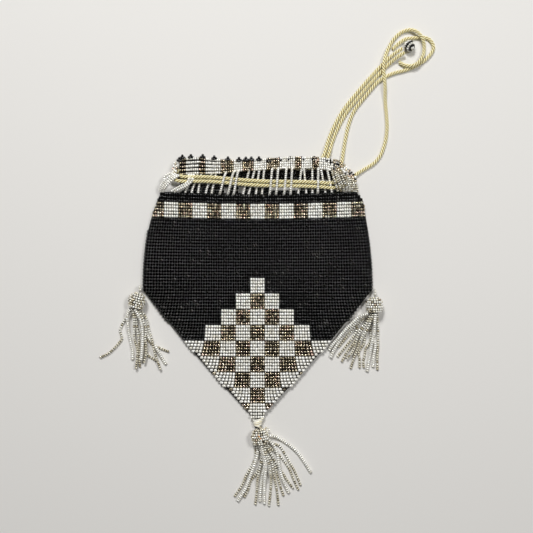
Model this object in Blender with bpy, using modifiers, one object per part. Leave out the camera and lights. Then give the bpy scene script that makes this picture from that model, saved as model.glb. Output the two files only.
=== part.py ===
"""A beaded drawstring evening bag with three tassels, lying flat on its back.

X runs across the bag, Y from the tip of the V towards the mouth, and Z up from the table.
The origin is on the table, on the bag's middle line, level with its two side corners.
"""

import bisect
import math

import bmesh
import bpy
from mathutils import Matrix, Vector

MM = 0.001
TOUCH_GAP = 0.3 * MM  # what touches keeps this much air

# The bead weave
BEAD_ACROSS = 1.6 * MM
BEAD_DOWN = 2.1 * MM
WEAVE_THICKNESS = 2.0 * MM
ROW_GROOVE = 0.45 * MM
SILVER_RISE = 0.3 * MM
CHECK_BEADS = 6
CHECK_ROWS = 5

# The two panels
MOUTH_WIDTH = 135.0 * MM
CORNER_WIDTH = 154.5 * MM
TIP_WIDTH = 3.2 * MM
ROWS_ABOVE_CORNERS = 31
ROWS_BELOW_CORNERS = 41
SIDE_BOW = 0.45  # how soon the sides reach their full width below the mouth
V_BULGE = 2.0 * MM
POCKET_HEIGHT = 5.0 * MM
TIP_FADE = 50.0 * MM  # the pillow flattens where the bag is narrower than twice this
BLACK_ROWS_OVER_BAND = 3
DIAMOND_STARTS_AT_ROW = 27
BAND_CHECKS = 15
DIAMOND_CHECK_ROWS = 9
BACK_CREST = 1.1 * MM
BACK_EXTRA_ROWS = 4  # the back's mouth lies this much further up than the front's

# The heading above the drawstring casing
CASING_LENGTH = 13.3 * MM
MOUTH_GAP = 4.3 * MM  # how far the mouth stands open between the two headings
HEADING_ROWS = 5
HEADING_LEFT = -56.0 * MM
HEADING_RIGHT = 64.0 * MM
HEADING_BACK_RIGHT = 52.0 * MM
HEADING_DROP = 8.0 * MM
HEADING_DROP_STARTS = 49.0 * MM
PLEAT_HEIGHT = 0.8 * MM
PLEAT_PITCH = 16.0 * MM
PICOT_PITCH = 7.6 * MM
PICOT_RADIUS = 1.7 * MM
CASING_STRAND = 1.7 * MM
CASING_STRANDS = 23

# The drawstring and its beaded ball
CORD_DIAMETER = 2.5 * MM
KNOB_RADIUS = 4.0 * MM
KNOB_BEAD_ROWS = 5
KNOB_BASE = (98.3 * MM, 160.9 * MM)

# The tassels
TASSEL_STRAND = 1.8 * MM
STRAND_SPACE = 0.4 * MM
STRAND_STEP = 5.0 * MM
HEAD_LENGTH = 10.0 * MM
HEAD_RADIUS = 5.6 * MM
HEAD_MOUTH_RADIUS = 4.8 * MM
HEAD_BEAD_ROWS = 5
LOOP_RADIUS = 1.9 * MM
LOOP_BEAD = 1.5 * MM
LEFT_CROWN_OUT = 1.6 * MM  # each cap hangs this far from its corner
LEFT_CROWN_DROP = 1.9 * MM
RIGHT_CROWN_OUT = 0.6 * MM
RIGHT_CROWN_DROP = 4.6 * MM
TIP_CROWN_ASIDE = 1.0 * MM
LEFT_TASSEL_SLANT = -0.28
TIP_TASSEL_SLANT = 0.1
WRAP_RADIUS = 2.6 * MM
WRAP_LENGTH = 5.8 * MM
WRAP_TURNS = 4

# Heights in the stack, from the table up
SEAT_HEIGHT = WEAVE_THICKNESS + TOUCH_GAP + WEAVE_THICKNESS / 2
STRAND_HEIGHT = WEAVE_THICKNESS + MOUTH_GAP + CASING_STRAND / 2
OUTER_CORD_HEIGHT = STRAND_HEIGHT + CASING_STRAND / 2 + TOUCH_GAP + CORD_DIAMETER / 2
OVER_HEIGHT = OUTER_CORD_HEIGHT + CORD_DIAMETER / 2 + TOUCH_GAP + CASING_STRAND / 2
FRONT_HEADING_HEIGHT = WEAVE_THICKNESS + MOUTH_GAP + WEAVE_THICKNESS / 2

MOUTH_Y = ROWS_ABOVE_CORNERS * BEAD_DOWN
BACK_MOUTH_Y = MOUTH_Y + BACK_EXTRA_ROWS * BEAD_DOWN
TIP_Y = -ROWS_BELOW_CORNERS * BEAD_DOWN
HEADING_Y = MOUTH_Y + CASING_LENGTH
CHECK_WIDTH = CHECK_BEADS * BEAD_ACROSS
HEIGHT_STOPS = (-1.0, -0.85, -0.45, 0.0, 0.45, 0.85, 1.0)

BLACK = ("black_beads", (0.012, 0.012, 0.014), 0.25, 0.0)
SILVER = ("silver_beads", (0.72, 0.73, 0.70), 0.25, 0.7)
GUNMETAL = ("gunmetal_beads", (0.16, 0.14, 0.12), 0.3, 0.6)
CORD = ("cotton_cord", (0.74, 0.65, 0.38), 0.8, 0.0)


def material(finish):
    """One Principled material for each finish."""
    name, colour, roughness, metallic = finish
    found = bpy.data.materials.get(name)
    if found:
        return found
    made = bpy.data.materials.new(name)
    made.use_nodes = True
    shader = made.node_tree.nodes["Principled BSDF"]
    shader.inputs["Base Color"].default_value = (*colour, 1.0)
    shader.inputs["Roughness"].default_value = roughness
    shader.inputs["Metallic"].default_value = metallic
    return made


def add_object(name, data, finish, collection):
    made = bpy.data.objects.new(name, data)
    collection.objects.link(made)
    data.materials.append(material(finish))
    return made


def half_width(y):
    """Half the panel's width at a height on the bag."""
    if y >= 0:
        share = 1 - (y / MOUTH_Y) ** (1 / SIDE_BOW)
        return (MOUTH_WIDTH + (CORNER_WIDTH - MOUTH_WIDTH) * share) / 2
    share = y / TIP_Y
    straight = CORNER_WIDTH / 2 + (TIP_WIDTH - CORNER_WIDTH) / 2 * share
    return straight + V_BULGE * math.sin(math.pi * share)


def pillow(x, y):
    """The front panel's middle height, straight between a few stops across the bag."""
    half = half_width(y)
    across = max(-1.0, min(1.0, x / half))
    stop = min(bisect.bisect_right(HEIGHT_STOPS, across), len(HEIGHT_STOPS) - 1)
    low, high = HEIGHT_STOPS[stop - 1], HEIGHT_STOPS[stop]
    part = (across - low) / (high - low)
    crown = (1 - low**4) * (1 - part) + (1 - high**4) * part
    fade = math.sin(min(1.0, half / TIP_FADE) * math.pi / 2)
    return SEAT_HEIGHT + POCKET_HEIGHT * crown * fade


def is_silver(x, row):
    """True where the front's checks are silver: the band's even blocks and the diamond's odd ones."""
    column = round(x / CHECK_WIDTH)
    if 0 <= row - BLACK_ROWS_OVER_BAND < CHECK_ROWS:
        return abs(column) <= BAND_CHECKS // 2 and column % 2 == 0
    level = (row - DIAMOND_STARTS_AT_ROW) // CHECK_ROWS + 1
    if not 1 <= level <= DIAMOND_CHECK_ROWS or abs(column) >= level:
        return False
    return (abs(column) + level) % 2 == 1


def check_edges(row, half):
    """The places across a bead row where silver starts or ends, each as a narrow step."""
    edges = []
    for n in range(-BAND_CHECKS // 2, BAND_CHECKS // 2 + 1):
        edge = (n + 0.5) * CHECK_WIDTH
        changes = is_silver(edge - MM, row) != is_silver(edge + MM, row)
        if changes and abs(edge) < half - BEAD_ACROSS:
            edges += [edge - TOUCH_GAP / 2, edge + TOUCH_GAP / 2]
    return edges


def strip(first, second, places):
    """Triangles between two chains of points that needn't have the same count."""
    faces = []
    i = j = 0

    def share(chain, k):
        start, end = places[chain[0]], places[chain[-1]]
        return (places[chain[k]] - start).dot(end - start) / max((end - start).length_squared, 1e-12)

    while i < len(first) - 1 or j < len(second) - 1:
        step_first = j == len(second) - 1
        if i < len(first) - 1 and not step_first:
            step_first = share(first, i + 1) <= share(second, j + 1)
        if step_first:
            faces.append((first[i], first[i + 1], second[j]))
            i += 1
        else:
            faces.append((first[i], second[j + 1], second[j]))
            j += 1
    return faces


def sheet_mesh(name, outer_lines, inner_lines):
    """A closed sheet between two sets of lines across it, with different counts of points."""
    places = []

    def keep(lines):
        chains = []
        for line in lines:
            chains.append(list(range(len(places), len(places) + len(line))))
            places.extend(line)
        return chains

    outer = keep(outer_lines)
    inner = keep(inner_lines)
    faces = []
    for chains in (outer, inner):
        for first, second in zip(chains, chains[1:]):
            faces += strip(first, second, places)
    for end in (0, -1):
        faces += strip(outer[end], inner[end], places)
        faces += strip([line[end] for line in outer], [line[end] for line in inner], places)
    mesh = bpy.data.meshes.new(name)
    mesh.from_pydata(places, [], faces)
    work = bmesh.new()
    work.from_mesh(mesh)
    bmesh.ops.recalc_face_normals(work, faces=work.faces)
    work.to_mesh(mesh)
    work.free()
    return mesh


def front_panel(collection):
    """The front of the bag: every bead row is a ridge, and the silver checks stand a little proud."""
    rows = ROWS_ABOVE_CORNERS + ROWS_BELOW_CORNERS
    top = WEAVE_THICKNESS / 2
    outer = []
    for k in range(2 * rows + 1):
        y = MOUTH_Y - k * BEAD_DOWN / 2
        half = half_width(y)
        places = [stop * half for stop in HEIGHT_STOPS]
        if k % 2 == 0:
            outer.append([Vector((x, y, pillow(x, y) + top - ROW_GROOVE)) for x in places])
            continue
        places = sorted(places + check_edges(k // 2, half))
        line = []
        for x in places:
            rise = SILVER_RISE if is_silver(x, k // 2) else 0.0
            line.append(Vector((x, y, pillow(x, y) + top + rise)))
        outer.append(line)
    inner = []
    rings = rows // CHECK_ROWS + 1
    for k in range(rings + 1):
        y = MOUTH_Y + (TIP_Y - MOUTH_Y) * k / rings
        inner.append([Vector((s * half_width(y), y, pillow(s * half_width(y), y) - top)) for s in HEIGHT_STOPS])
    mesh = sheet_mesh("front_panel", outer, inner)
    return add_object("front_panel", mesh, BLACK, collection)


def back_panel(collection):
    """The back of the bag lies flat, on the crests of its bead rows."""
    rows = BACK_EXTRA_ROWS + ROWS_ABOVE_CORNERS + ROWS_BELOW_CORNERS
    crests = [(BACK_MOUTH_Y, 0.0)]
    for row in range(rows):
        start = BACK_MOUTH_Y - row * BEAD_DOWN
        crests.append((start - BACK_CREST / 2, 0.0))
        crests.append((start - BEAD_DOWN / 2, ROW_GROOVE))
        crests.append((start - BEAD_DOWN + BACK_CREST / 2, 0.0))
    crests.append((TIP_Y, 0.0))
    under = [[Vector((side * half_width(y), y, z)) for side in (-1, 1)] for y, z in crests]
    upper = []
    rings = rows // CHECK_ROWS + 1
    for k in range(rings + 1):
        y = BACK_MOUTH_Y + (TIP_Y - BACK_MOUTH_Y) * k / rings
        upper.append([Vector((side * half_width(y), y, WEAVE_THICKNESS)) for side in (-1, 1)])
    mesh = sheet_mesh("back_panel", under, upper)
    return add_object("back_panel", mesh, BLACK, collection)


def heading_lift(x):
    """How far the gathered heading waves up off the drawstring."""
    return PLEAT_HEIGHT * (1 - math.cos(2 * math.pi * x / PLEAT_PITCH))


def heading_sink(x):
    """How far the turned end of the front heading drops towards the casing."""
    return -HEADING_DROP * max(0.0, (x - HEADING_DROP_STARTS) / (HEADING_RIGHT - HEADING_DROP_STARTS))


def heading_mesh(name, right, middle_height, waved):
    """A strip of bead rows above the casing, gathered into shallow pleats."""
    columns = 21 if waved else 2
    across = [HEADING_LEFT + (right - HEADING_LEFT) * n / columns for n in range(columns + 1)]

    def line(y, z):
        if not waved:
            return [Vector((x, y, middle_height + z)) for x in across]
        return [Vector((x, y + heading_sink(x), middle_height + heading_lift(x) + z)) for x in across]

    outer = []
    for k in range(2 * HEADING_ROWS + 1):
        height = WEAVE_THICKNESS / 2 - (ROW_GROOVE if k % 2 == 0 else 0.0)
        outer.append(line(HEADING_Y + k * BEAD_DOWN / 2, height))
    inner = [line(HEADING_Y + k * HEADING_ROWS * BEAD_DOWN, -WEAVE_THICKNESS / 2) for k in (0, 1)]
    return sheet_mesh(name, outer, inner)


def picot_mesh(right, middle_height, waved):
    """The three-bead points along the top of the heading, as one small bump each."""
    work = bmesh.new()
    count = int((right - HEADING_LEFT) / PICOT_PITCH)
    top = HEADING_Y + (HEADING_ROWS + 0.1) * BEAD_DOWN
    for n in range(count):
        x = HEADING_LEFT + (n + 0.5) * PICOT_PITCH
        y = top + (heading_sink(x) if waved else 0.0)
        z = middle_height + (heading_lift(x) if waved else 0.0)
        place = Matrix.Translation((x, y, z)) @ Matrix.Diagonal((1.0, 1.0, 0.55, 1.0))
        bmesh.ops.create_icosphere(work, subdivisions=1, radius=PICOT_RADIUS, matrix=place)
    mesh = bpy.data.meshes.new("picots")
    work.to_mesh(mesh)
    work.free()
    return mesh


def tubes_mesh(name, routes, diameter, resolution):
    """Straight-segment tubes with capped ends, as one mesh."""
    curve = bpy.data.curves.new(name, "CURVE")
    curve.dimensions = "3D"
    curve.bevel_depth = diameter / 2
    curve.bevel_resolution = resolution
    curve.use_fill_caps = True
    for route in routes:
        spline = curve.splines.new("POLY")
        spline.points.add(len(route) - 1)
        for point, place in zip(spline.points, route):
            point.co = (*place, 1.0)
    holder = bpy.data.objects.new(name, curve)
    bpy.context.scene.collection.objects.link(holder)
    bpy.context.view_layer.update()
    evaluated = holder.evaluated_get(bpy.context.evaluated_depsgraph_get())
    mesh = bpy.data.meshes.new_from_object(evaluated)
    bpy.data.objects.remove(holder)
    work = bmesh.new()
    work.from_mesh(mesh)
    bmesh.ops.remove_doubles(work, verts=work.verts, dist=0.01 * MM)
    bmesh.ops.recalc_face_normals(work, faces=work.faces)
    work.to_mesh(mesh)
    work.free()
    return mesh


# Where each front casing strand lies: "under" the drawstring, "over" it, or none where it dives
def casing_lane(n):
    if n in (0, 1, 8, 14, 15, 17):
        return "over"
    if n in (19, 20, 21):
        return "none"
    return "under"


def casing_routes(front):
    """Bead strands fanning from the heading to the wider mouth of the panel."""
    routes = []
    low_y = (MOUTH_Y if front else BACK_MOUTH_Y) + TOUCH_GAP
    inside = HEADING_Y + 0.7 * BEAD_DOWN
    right = HEADING_RIGHT - 3 * MM if front else HEADING_BACK_RIGHT - 3 * MM
    for n in range(CASING_STRANDS):
        lane = casing_lane(n) if front else "under"
        if lane == "none":
            continue
        share = n / (CASING_STRANDS - 1)
        top_x = HEADING_LEFT + 3 * MM + (right - HEADING_LEFT - 3 * MM) * share
        low_x = (2 * share - 1) * (half_width(low_y) - 3 * MM)
        square = low_y + CASING_STRAND / 2
        if not front:
            flat = WEAVE_THICKNESS / 2
            routes.append([Vector((low_x, square, flat)), Vector((top_x, inside, flat))])
            continue
        sink = heading_sink(top_x)
        top = FRONT_HEADING_HEIGHT + heading_lift(top_x)
        start = pillow(low_x, MOUTH_Y)
        middle = STRAND_HEIGHT if lane == "under" else OVER_HEIGHT
        first = low_y + (CASING_STRAND if lane == "over" else 0.25 * CASING_LENGTH)
        last = HEADING_Y + sink - 0.2 * CASING_LENGTH
        routes.append([
            Vector((low_x, low_y, start)),
            Vector((low_x, square, start)),
            Vector((low_x + (top_x - low_x) * 0.25, first, middle)),
            Vector((low_x + (top_x - low_x) * 0.8, last, middle)),
            Vector((top_x, inside + sink, top)),
        ])
    return routes


def heading(name, front, collection, helpers):
    """A heading strip with its picots and casing strands joined to it."""
    right = HEADING_RIGHT if front else HEADING_BACK_RIGHT
    height = FRONT_HEADING_HEIGHT if front else WEAVE_THICKNESS / 2
    made = add_object(name, heading_mesh(name, right, height, front), SILVER, collection)
    pieces = {
        "picots": picot_mesh(right, height, front),
        "casing": tubes_mesh("casing", casing_routes(front), CASING_STRAND, 0),
    }
    for label, mesh in pieces.items():
        helper = bpy.data.objects.new(f"{name}_{label}", mesh)
        helpers.objects.link(helper)
        helper.hide_render = True
        helper.display_type = "WIRE"
        union = made.modifiers.new(label, "BOOLEAN")
        union.operation = "UNION"
        union.object = helper
    return made


def smooth_route(points, step):
    """Points about a step apart on a smooth curve through hand-chosen ones."""
    places = [Vector(p) * MM for p in points]
    places = [2 * places[0] - places[1], *places, 2 * places[-1] - places[-2]]
    fine = []
    for a, b, c, d in zip(places, places[1:], places[2:], places[3:]):
        for k in range(16):
            t = k / 16
            fine.append(
                0.5 * (2 * b + (c - a) * t + (2 * a - 5 * b + 4 * c - d) * t**2
                       + (3 * b - a - 3 * c + d) * t**3)
            )
    fine.append(places[-2])
    along = [0.0]
    for a, b in zip(fine, fine[1:]):
        along.append(along[-1] + (b - a).length)
    count = max(2, round(along[-1] / step))
    route = []
    for k in range(count + 1):
        want = along[-1] * k / count
        i = min(bisect.bisect_right(along, want), len(along) - 1)
        part = (want - along[i - 1]) / (along[i] - along[i - 1])
        route.append(fine[i - 1].lerp(fine[i], part))
    return route


# The drawstring's two cords, each a whole loop from the ball, through the casing, and back.
# Millimetres, in order along the cord.
CORD_ONE = [
    (97.0, 161.6, 4.2), (91.5, 158.2, 3.2), (84.3, 151.9, 1.4), (75.4, 142.5, 1.35), (66.2, 131.7, 1.35),
    (57.7, 121.0, 1.35), (51.2, 109.4, 1.35), (47.2, 99.5, 1.6), (44.7, 91.0, 3.5), (42.0, 87.2, 3.6),
    (36.0, 85.4, 3.6), (20.0, 85.0, 3.6), (-20.0, 85.0, 3.6), (-40.0, 84.6, 3.6), (-50.0, 81.0, 3.8),
    (-54.5, 78.6, 4.6), (-55.8, 75.6, 6.8), (-54.0, 73.0, 9.0), (-49.0, 72.2, 9.6), (-42.0, 72.2, 9.6),
    (-30.0, 72.0, 9.6), (0.0, 69.6, 9.6), (30.0, 69.0, 9.6), (44.0, 68.4, 9.4), (49.5, 68.2, 7.0),
    (54.5, 69.0, 3.7), (59.5, 71.8, 3.7), (63.5, 75.6, 3.2), (67.5, 78.5, 2.0), (72.5, 81.5, 1.35),
    (78.0, 85.0, 1.35), (82.0, 89.5, 1.35), (84.5, 95.0, 1.35), (86.3, 102.0, 1.35), (87.0, 110.0, 1.35),
    (86.5, 118.5, 1.35), (85.8, 126.0, 1.5), (85.5, 131.5, 3.0), (85.3, 136.5, 4.2), (84.8, 142.0, 4.3),
    (84.3, 147.5, 4.3), (84.6, 152.5, 4.2), (86.0, 158.0, 2.6), (88.5, 163.5, 1.4), (92.0, 169.0, 1.35),
    (96.5, 173.0, 1.4), (102.0, 174.5, 2.6), (106.5, 172.8, 4.1), (110.0, 169.0, 4.3), (111.6, 164.5, 3.0),
    (111.5, 160.0, 2.8), (110.2, 156.0, 4.1), (107.5, 152.2, 4.3), (103.0, 150.0, 4.1), (98.5, 150.9, 2.2),
    (95.0, 153.2, 1.5),
]
CORD_TWO = [
    (98.5, 158.8, 4.2), (93.3, 155.8, 3.2), (86.2, 149.8, 1.4), (77.6, 140.7, 1.35), (68.3, 129.9, 1.35),
    (59.9, 119.4, 1.35), (53.8, 108.3, 1.35), (49.9, 98.5, 1.6), (47.5, 90.3, 3.5), (45.2, 85.6, 3.5),
    (39.0, 82.4, 3.6), (20.0, 82.0, 3.6), (-20.0, 82.0, 3.6), (-40.0, 81.4, 3.6), (-46.0, 79.6, 3.7),
    (-50.0, 78.0, 4.6), (-51.5, 76.6, 6.6), (-50.0, 75.4, 9.0), (-46.0, 75.1, 9.6), (-40.0, 75.1, 9.6),
    (-30.0, 74.9, 9.6), (0.0, 72.5, 9.6), (30.0, 71.9, 9.6), (42.5, 71.4, 9.4), (48.0, 71.4, 7.2),
    (52.5, 73.0, 3.8), (54.9, 77.5, 3.6), (56.0, 83.0, 3.6), (57.0, 89.0, 2.4), (58.3, 97.0, 1.35),
    (60.0, 106.0, 1.35), (61.8, 113.0, 1.35), (65.0, 120.5, 1.35), (70.5, 127.8, 1.35), (79.8, 138.7, 1.35),
    (85.5, 143.0, 1.35), (92.0, 145.8, 1.35), (98.0, 147.3, 1.35), (104.5, 149.6, 1.35), (110.5, 153.0, 1.35),
    (115.0, 156.8, 1.35), (117.8, 161.0, 1.35), (118.0, 164.5, 1.35), (115.5, 168.3, 1.35), (111.0, 169.8, 1.35),
    (105.5, 169.4, 1.35), (99.6, 168.6, 1.5), (94.6, 165.4, 1.4), (90.6, 161.6, 1.35),
]
CORD_STEP = 6.0 * MM
CORD_SLACK = 0.2 * MM


def straightened(route, slack):
    """The route without the points that lie on the line between the ones kept beside them."""
    kept = [route[0]]
    waiting = []
    for place, after in zip(route[1:], route[2:]):
        waiting.append(place)
        line = after - kept[-1]
        if any((p - kept[-1]).cross(line).length / line.length > slack for p in waiting):
            kept.append(place)
            waiting = []
    return [*kept, route[-1]]


def cord(name, points, collection):
    """A plain tube along the cord's route."""
    route = straightened(smooth_route(points, CORD_STEP), CORD_SLACK)
    mesh = tubes_mesh(name, [route], CORD_DIAMETER, 2)
    mesh.shade_smooth()
    return add_object(name, mesh, CORD, collection)


def beaded_turning(name, profile, base, direction, finish, collection, segments):
    """A small turned form with its axis along a direction: profile is (along, radius)."""
    mesh = bpy.data.meshes.new(name)
    points = [(radius, 0.0, -along) for along, radius in profile]
    mesh.from_pydata(points, [(k, k + 1) for k in range(len(points) - 1)], [])
    made = add_object(name, mesh, finish, collection)
    turn = made.modifiers.new("turn", "SCREW")
    turn.angle = 2 * math.pi
    turn.axis = "Z"
    turn.steps = segments
    turn.render_steps = segments
    turn.use_merge_vertices = True
    turn.merge_threshold = 0.01 * MM
    turn.use_normal_calculate = True
    made.location = base
    made.rotation_mode = "QUATERNION"
    made.rotation_quaternion = Vector(direction).to_track_quat("-Z", "Y")
    return made


def bead_row_profile(length, radius, mouth, rows):
    """A dome whose outline has one bump for each bead row, closed by a flat mouth."""
    profile = [(0.0, 0.0)]
    for k in range(1, 2 * rows):
        along = length * k / (2 * rows)
        share = k / (2 * rows)
        round_out = radius * math.sin(math.pi * min(0.5, share * 0.9)) ** 0.6
        narrow = mouth + (radius - mouth) * math.sin(math.pi * min(1.0, 1.45 - share)) if share > 0.5 else round_out
        profile.append((along, min(round_out, max(mouth, narrow)) - (0.35 * MM if k % 2 == 0 else 0.0)))
    profile.append((length, mouth - 0.4 * MM))
    profile.append((length, 0.0))
    return profile


# Each tassel's strands, as routes on the table in millimetres from the middle of its cap's mouth,
# in the order that they are laid
LEFT_STRANDS = [
    [(-1.5, -1.0), (0.0, -11.0), (2.0, -17.0), (4.5, -19.5), (7.5, -21.5), (11.5, -25.5), (22.0, -30.0)],
    [(1.0, -1.5), (4.0, -16.0), (5.5, -26.5), (7.5, -32.0), (10.5, -34.0), (13.5, -36.0)],
    [(-4.0, -1.0), (-7.5, -8.0), (-11.0, -15.5), (-9.5, -20.5), (-12.0, -24.5), (-18.0, -30.5), (-24.5, -34.0)],
    [(-0.5, -1.0), (0.5, -11.0), (1.5, -19.0), (2.0, -24.5), (2.0, -31.5), (2.5, -40.5)],
    [(3.3, -2.3), (5.0, -11.0), (8.5, -20.0), (12.0, -24.5), (14.5, -28.5), (20.0, -38.5)],
    [(-2.0, -1.0), (-1.0, -7.0), (-1.0, -15.5), (-1.0, -21.0), (0.5, -26.5), (1.0, -31.5), (0.0, -41.5)],
    [(4.0, -2.4), (7.0, -7.0), (8.5, -14.0), (10.5, -19.5), (11.5, -23.5), (12.5, -29.5), (16.5, -42.0)],
    [(2.3, -2.0), (5.0, -8.0), (7.0, -14.5), (6.5, -21.0), (7.0, -25.5), (7.0, -30.5), (5.5, -37.5)],
    [(-3.5, -1.0), (-5.5, -5.0), (-5.5, -11.0), (-5.0, -17.5), (-3.5, -24.5), (-2.5, -30.5), (-2.5, -35.5)],
    [(0.0, -1.0), (2.5, -5.5), (4.5, -10.5), (5.0, -16.0), (5.0, -21.0), (4.5, -27.5), (3.5, -35.5)],
]
RIGHT_STRANDS = [
    [(-4.6, -0.9), (-7.3, -5.4), (-10.3, -8.9), (-11.8, -13.9), (-15.3, -19.4), (-19.8, -24.9), (-24.3, -30.4)],
    [(-2.1, -0.9), (-5.8, -7.9), (-9.3, -12.4), (-11.8, -18.4), (-14.8, -22.9), (-18.3, -27.9), (-21.3, -33.9)],
    [(0.4, -0.9), (-1.8, -8.4), (-1.8, -17.4), (-2.8, -21.4), (-5.3, -24.9), (-5.8, -28.9), (-6.8, -33.4), (-6.3, -37.9)],
    [(2.9, -0.9), (2.7, -6.4), (3.2, -11.4), (3.2, -17.4), (3.2, -23.4), (2.7, -29.9), (2.7, -39.4)],
    [(-3.4, -0.9), (-9.3, -5.4), (-12.8, -10.4), (-16.8, -15.4), (-20.3, -19.9), (-23.8, -23.9)],
    [(-0.9, -0.9), (-3.3, -8.4), (-4.3, -12.9), (-5.8, -17.4), (-6.3, -21.4), (-9.8, -26.9), (-9.3, -31.9), (-9.3, -37.9)],
    [(1.6, -0.9), (0.7, -8.4), (0.7, -17.9), (1.2, -23.4), (0.2, -29.9), (-0.3, -37.4)],
    [(-4.6, -0.9), (-9.3, -4.4), (-12.8, -7.9), (-16.8, -11.9), (-20.3, -15.9), (-23.3, -20.4), (-26.8, -25.9), (-28.8, -30.9)],
    [(-2.1, -0.9), (-5.3, -8.4), (-7.8, -11.9), (-10.3, -14.9), (-11.8, -19.4), (-13.3, -23.9), (-14.8, -27.9), (-18.3, -31.4)],
    [(-0.9, -0.9), (-4.3, -10.4), (-7.3, -15.4), (-9.3, -19.9), (-10.8, -24.9), (-12.8, -29.9), (-14.3, -34.9), (-15.3, -38.4)],
    [(-4.2, -0.9), (-9.8, -2.9), (-13.8, -6.4), (-17.8, -10.4), (-21.3, -14.4), (-24.8, -18.9), (-28.3, -22.9), (-29.8, -25.9)],
    [(0.4, -0.9), (0.2, -6.4), (0.2, -12.9), (-0.8, -17.9), (-1.8, -23.9), (-2.8, -30.9), (-4.3, -40.4)],
]
TIP_STRANDS = [
    [(-3.5, -1.0), (-3.5, -10.0), (-5.5, -15.0), (-9.5, -22.0), (-12.5, -29.0), (-17.5, -36.5)],
    [(-1.0, -1.0), (0.5, -10.0), (-2.0, -19.5), (-6.5, -25.5), (-8.5, -32.0), (-11.0, -37.0)],
    [(1.5, -1.0), (6.0, -7.0), (9.0, -12.5), (11.0, -21.0), (13.0, -28.5), (15.5, -36.0)],
    [(4.0, -1.0), (6.0, -3.5), (11.0, -7.0), (15.5, -12.0), (19.5, -18.0), (21.5, -23.0), (25.5, -32.0)],
    [(6.5, -0.1), (9.5, -1.0), (13.0, -2.5), (16.5, -8.0), (19.5, -13.5), (23.0, -19.5), (27.0, -29.0)],
    [(-2.2, -1.0), (-2.0, -7.0), (-4.0, -14.0), (-7.0, -22.5), (-10.0, -30.5), (-15.5, -39.5)],
    [(0.3, -1.0), (1.0, -11.0), (-0.5, -16.5), (-2.0, -24.5), (-2.5, -33.0), (-3.5, -42.0)],
    [(2.8, -1.0), (6.5, -6.0), (9.5, -12.0), (14.0, -19.0), (18.0, -25.5), (22.0, -31.0)],
    [(-1.0, -1.0), (2.0, -9.5), (2.5, -16.0), (1.0, -23.0), (0.0, -32.0), (-0.5, -40.0)],
    [(1.5, -1.0), (4.5, -7.5), (7.5, -13.0), (8.5, -18.5), (9.5, -24.5), (11.0, -32.5), (12.0, -42.5)],
    [(0.3, -1.0), (3.0, -9.5), (3.5, -14.5), (3.0, -21.0), (2.5, -29.5), (2.5, -41.5)],
    [(2.8, -1.0), (3.5, -6.5), (5.5, -12.0), (6.5, -18.5), (7.0, -25.5), (6.5, -35.0), (5.5, -43.0)],
    [(4.0, -1.0), (6.5, -2.0), (10.0, -5.5), (11.5, -10.0), (13.0, -17.5), (15.0, -24.5), (19.0, -34.0)],
    [(4.6, 4.9), (8.0, 4.7), (12.0, 3.0), (19.5, -2.0), (25.0, -7.0), (29.0, -12.5), (34.0, -20.5)],
]


def pile_up(routes):
    """Lays flat routes one by one, each resting on those that are under it."""
    apart = TASSEL_STRAND + STRAND_SPACE
    laid = []
    stacked = []
    for points in routes:
        flat = smooth_route([(x / MM, y / MM, 0.0) for x, y in points], apart / 2)
        rest = []
        for place in flat:
            height = TASSEL_STRAND / 2 + TOUCH_GAP / 3
            for other in laid:
                away = math.hypot(place.x - other.x, place.y - other.y)
                if away < apart:
                    height = max(height, other.z + math.sqrt(apart**2 - away**2))
            rest.append(height)
        reach = 4
        wide = [max(rest[max(0, k - reach):k + reach + 1]) for k in range(len(rest))]
        eased = []
        for k in range(len(wide)):
            near = wide[max(0, k - reach):k + reach + 1]
            eased.append(sum(near) / len(near))
        route = [Vector((p.x, p.y, z)) for p, z in zip(flat, eased)]
        laid += route
        stacked.append(route)
    return stacked


def thinned(route, step):
    """Every few points of a fine route, with both ends kept."""
    long = sum((b - a).length for a, b in zip(route, route[1:]))
    count = max(2, round(long / step))
    return [route[round(k * (len(route) - 1) / count)] for k in range(count + 1)]


def tassel(name, crown, direction, strands, collection):
    """A beaded cap with its strands hanging out of its mouth."""
    profile = bead_row_profile(HEAD_LENGTH, HEAD_RADIUS, HEAD_MOUTH_RADIUS, HEAD_BEAD_ROWS)
    pieces = [beaded_turning(f"{name}_cap", profile, crown, direction, GUNMETAL, collection, 10)]
    mouth = Vector(crown) + HEAD_LENGTH * Vector(direction).normalized()
    places = [[(x * MM + mouth.x, y * MM + mouth.y) for x, y in route] for route in strands]
    for n, route in enumerate(pile_up(places)):
        mesh = tubes_mesh(f"{name}_strand", [thinned(route, STRAND_STEP)], TASSEL_STRAND, 0)
        finish = SILVER if n >= len(strands) - 2 else GUNMETAL
        pieces.append(add_object(f"{name}_strand_{n + 1:02d}", mesh, finish, collection))
    return pieces


def hang(name, pieces, pivot, collection):
    """Parents a tassel's pieces to an empty on the axis that it lifts about."""
    holder = bpy.data.objects.new(f"{name}_pivot", None)
    holder.location = pivot
    collection.objects.link(holder)
    bpy.context.view_layer.update()
    for piece in pieces:
        piece.parent = holder
        piece.matrix_parent_inverse = holder.matrix_world.inverted()


def bead_ring(name, centre, collection):
    """The small ring of beads that joins a tassel to the bag."""
    bpy.ops.mesh.primitive_torus_add(
        major_radius=LOOP_RADIUS, minor_radius=LOOP_BEAD / 2, major_segments=8, minor_segments=6,
        location=centre, rotation=(0.0, math.radians(90), 0.0),
    )
    made = bpy.context.active_object
    made.name = name
    made.data.name = name
    made.data.materials.append(material(SILVER))
    for home in made.users_collection:
        home.objects.unlink(made)
    collection.objects.link(made)
    return made


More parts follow.
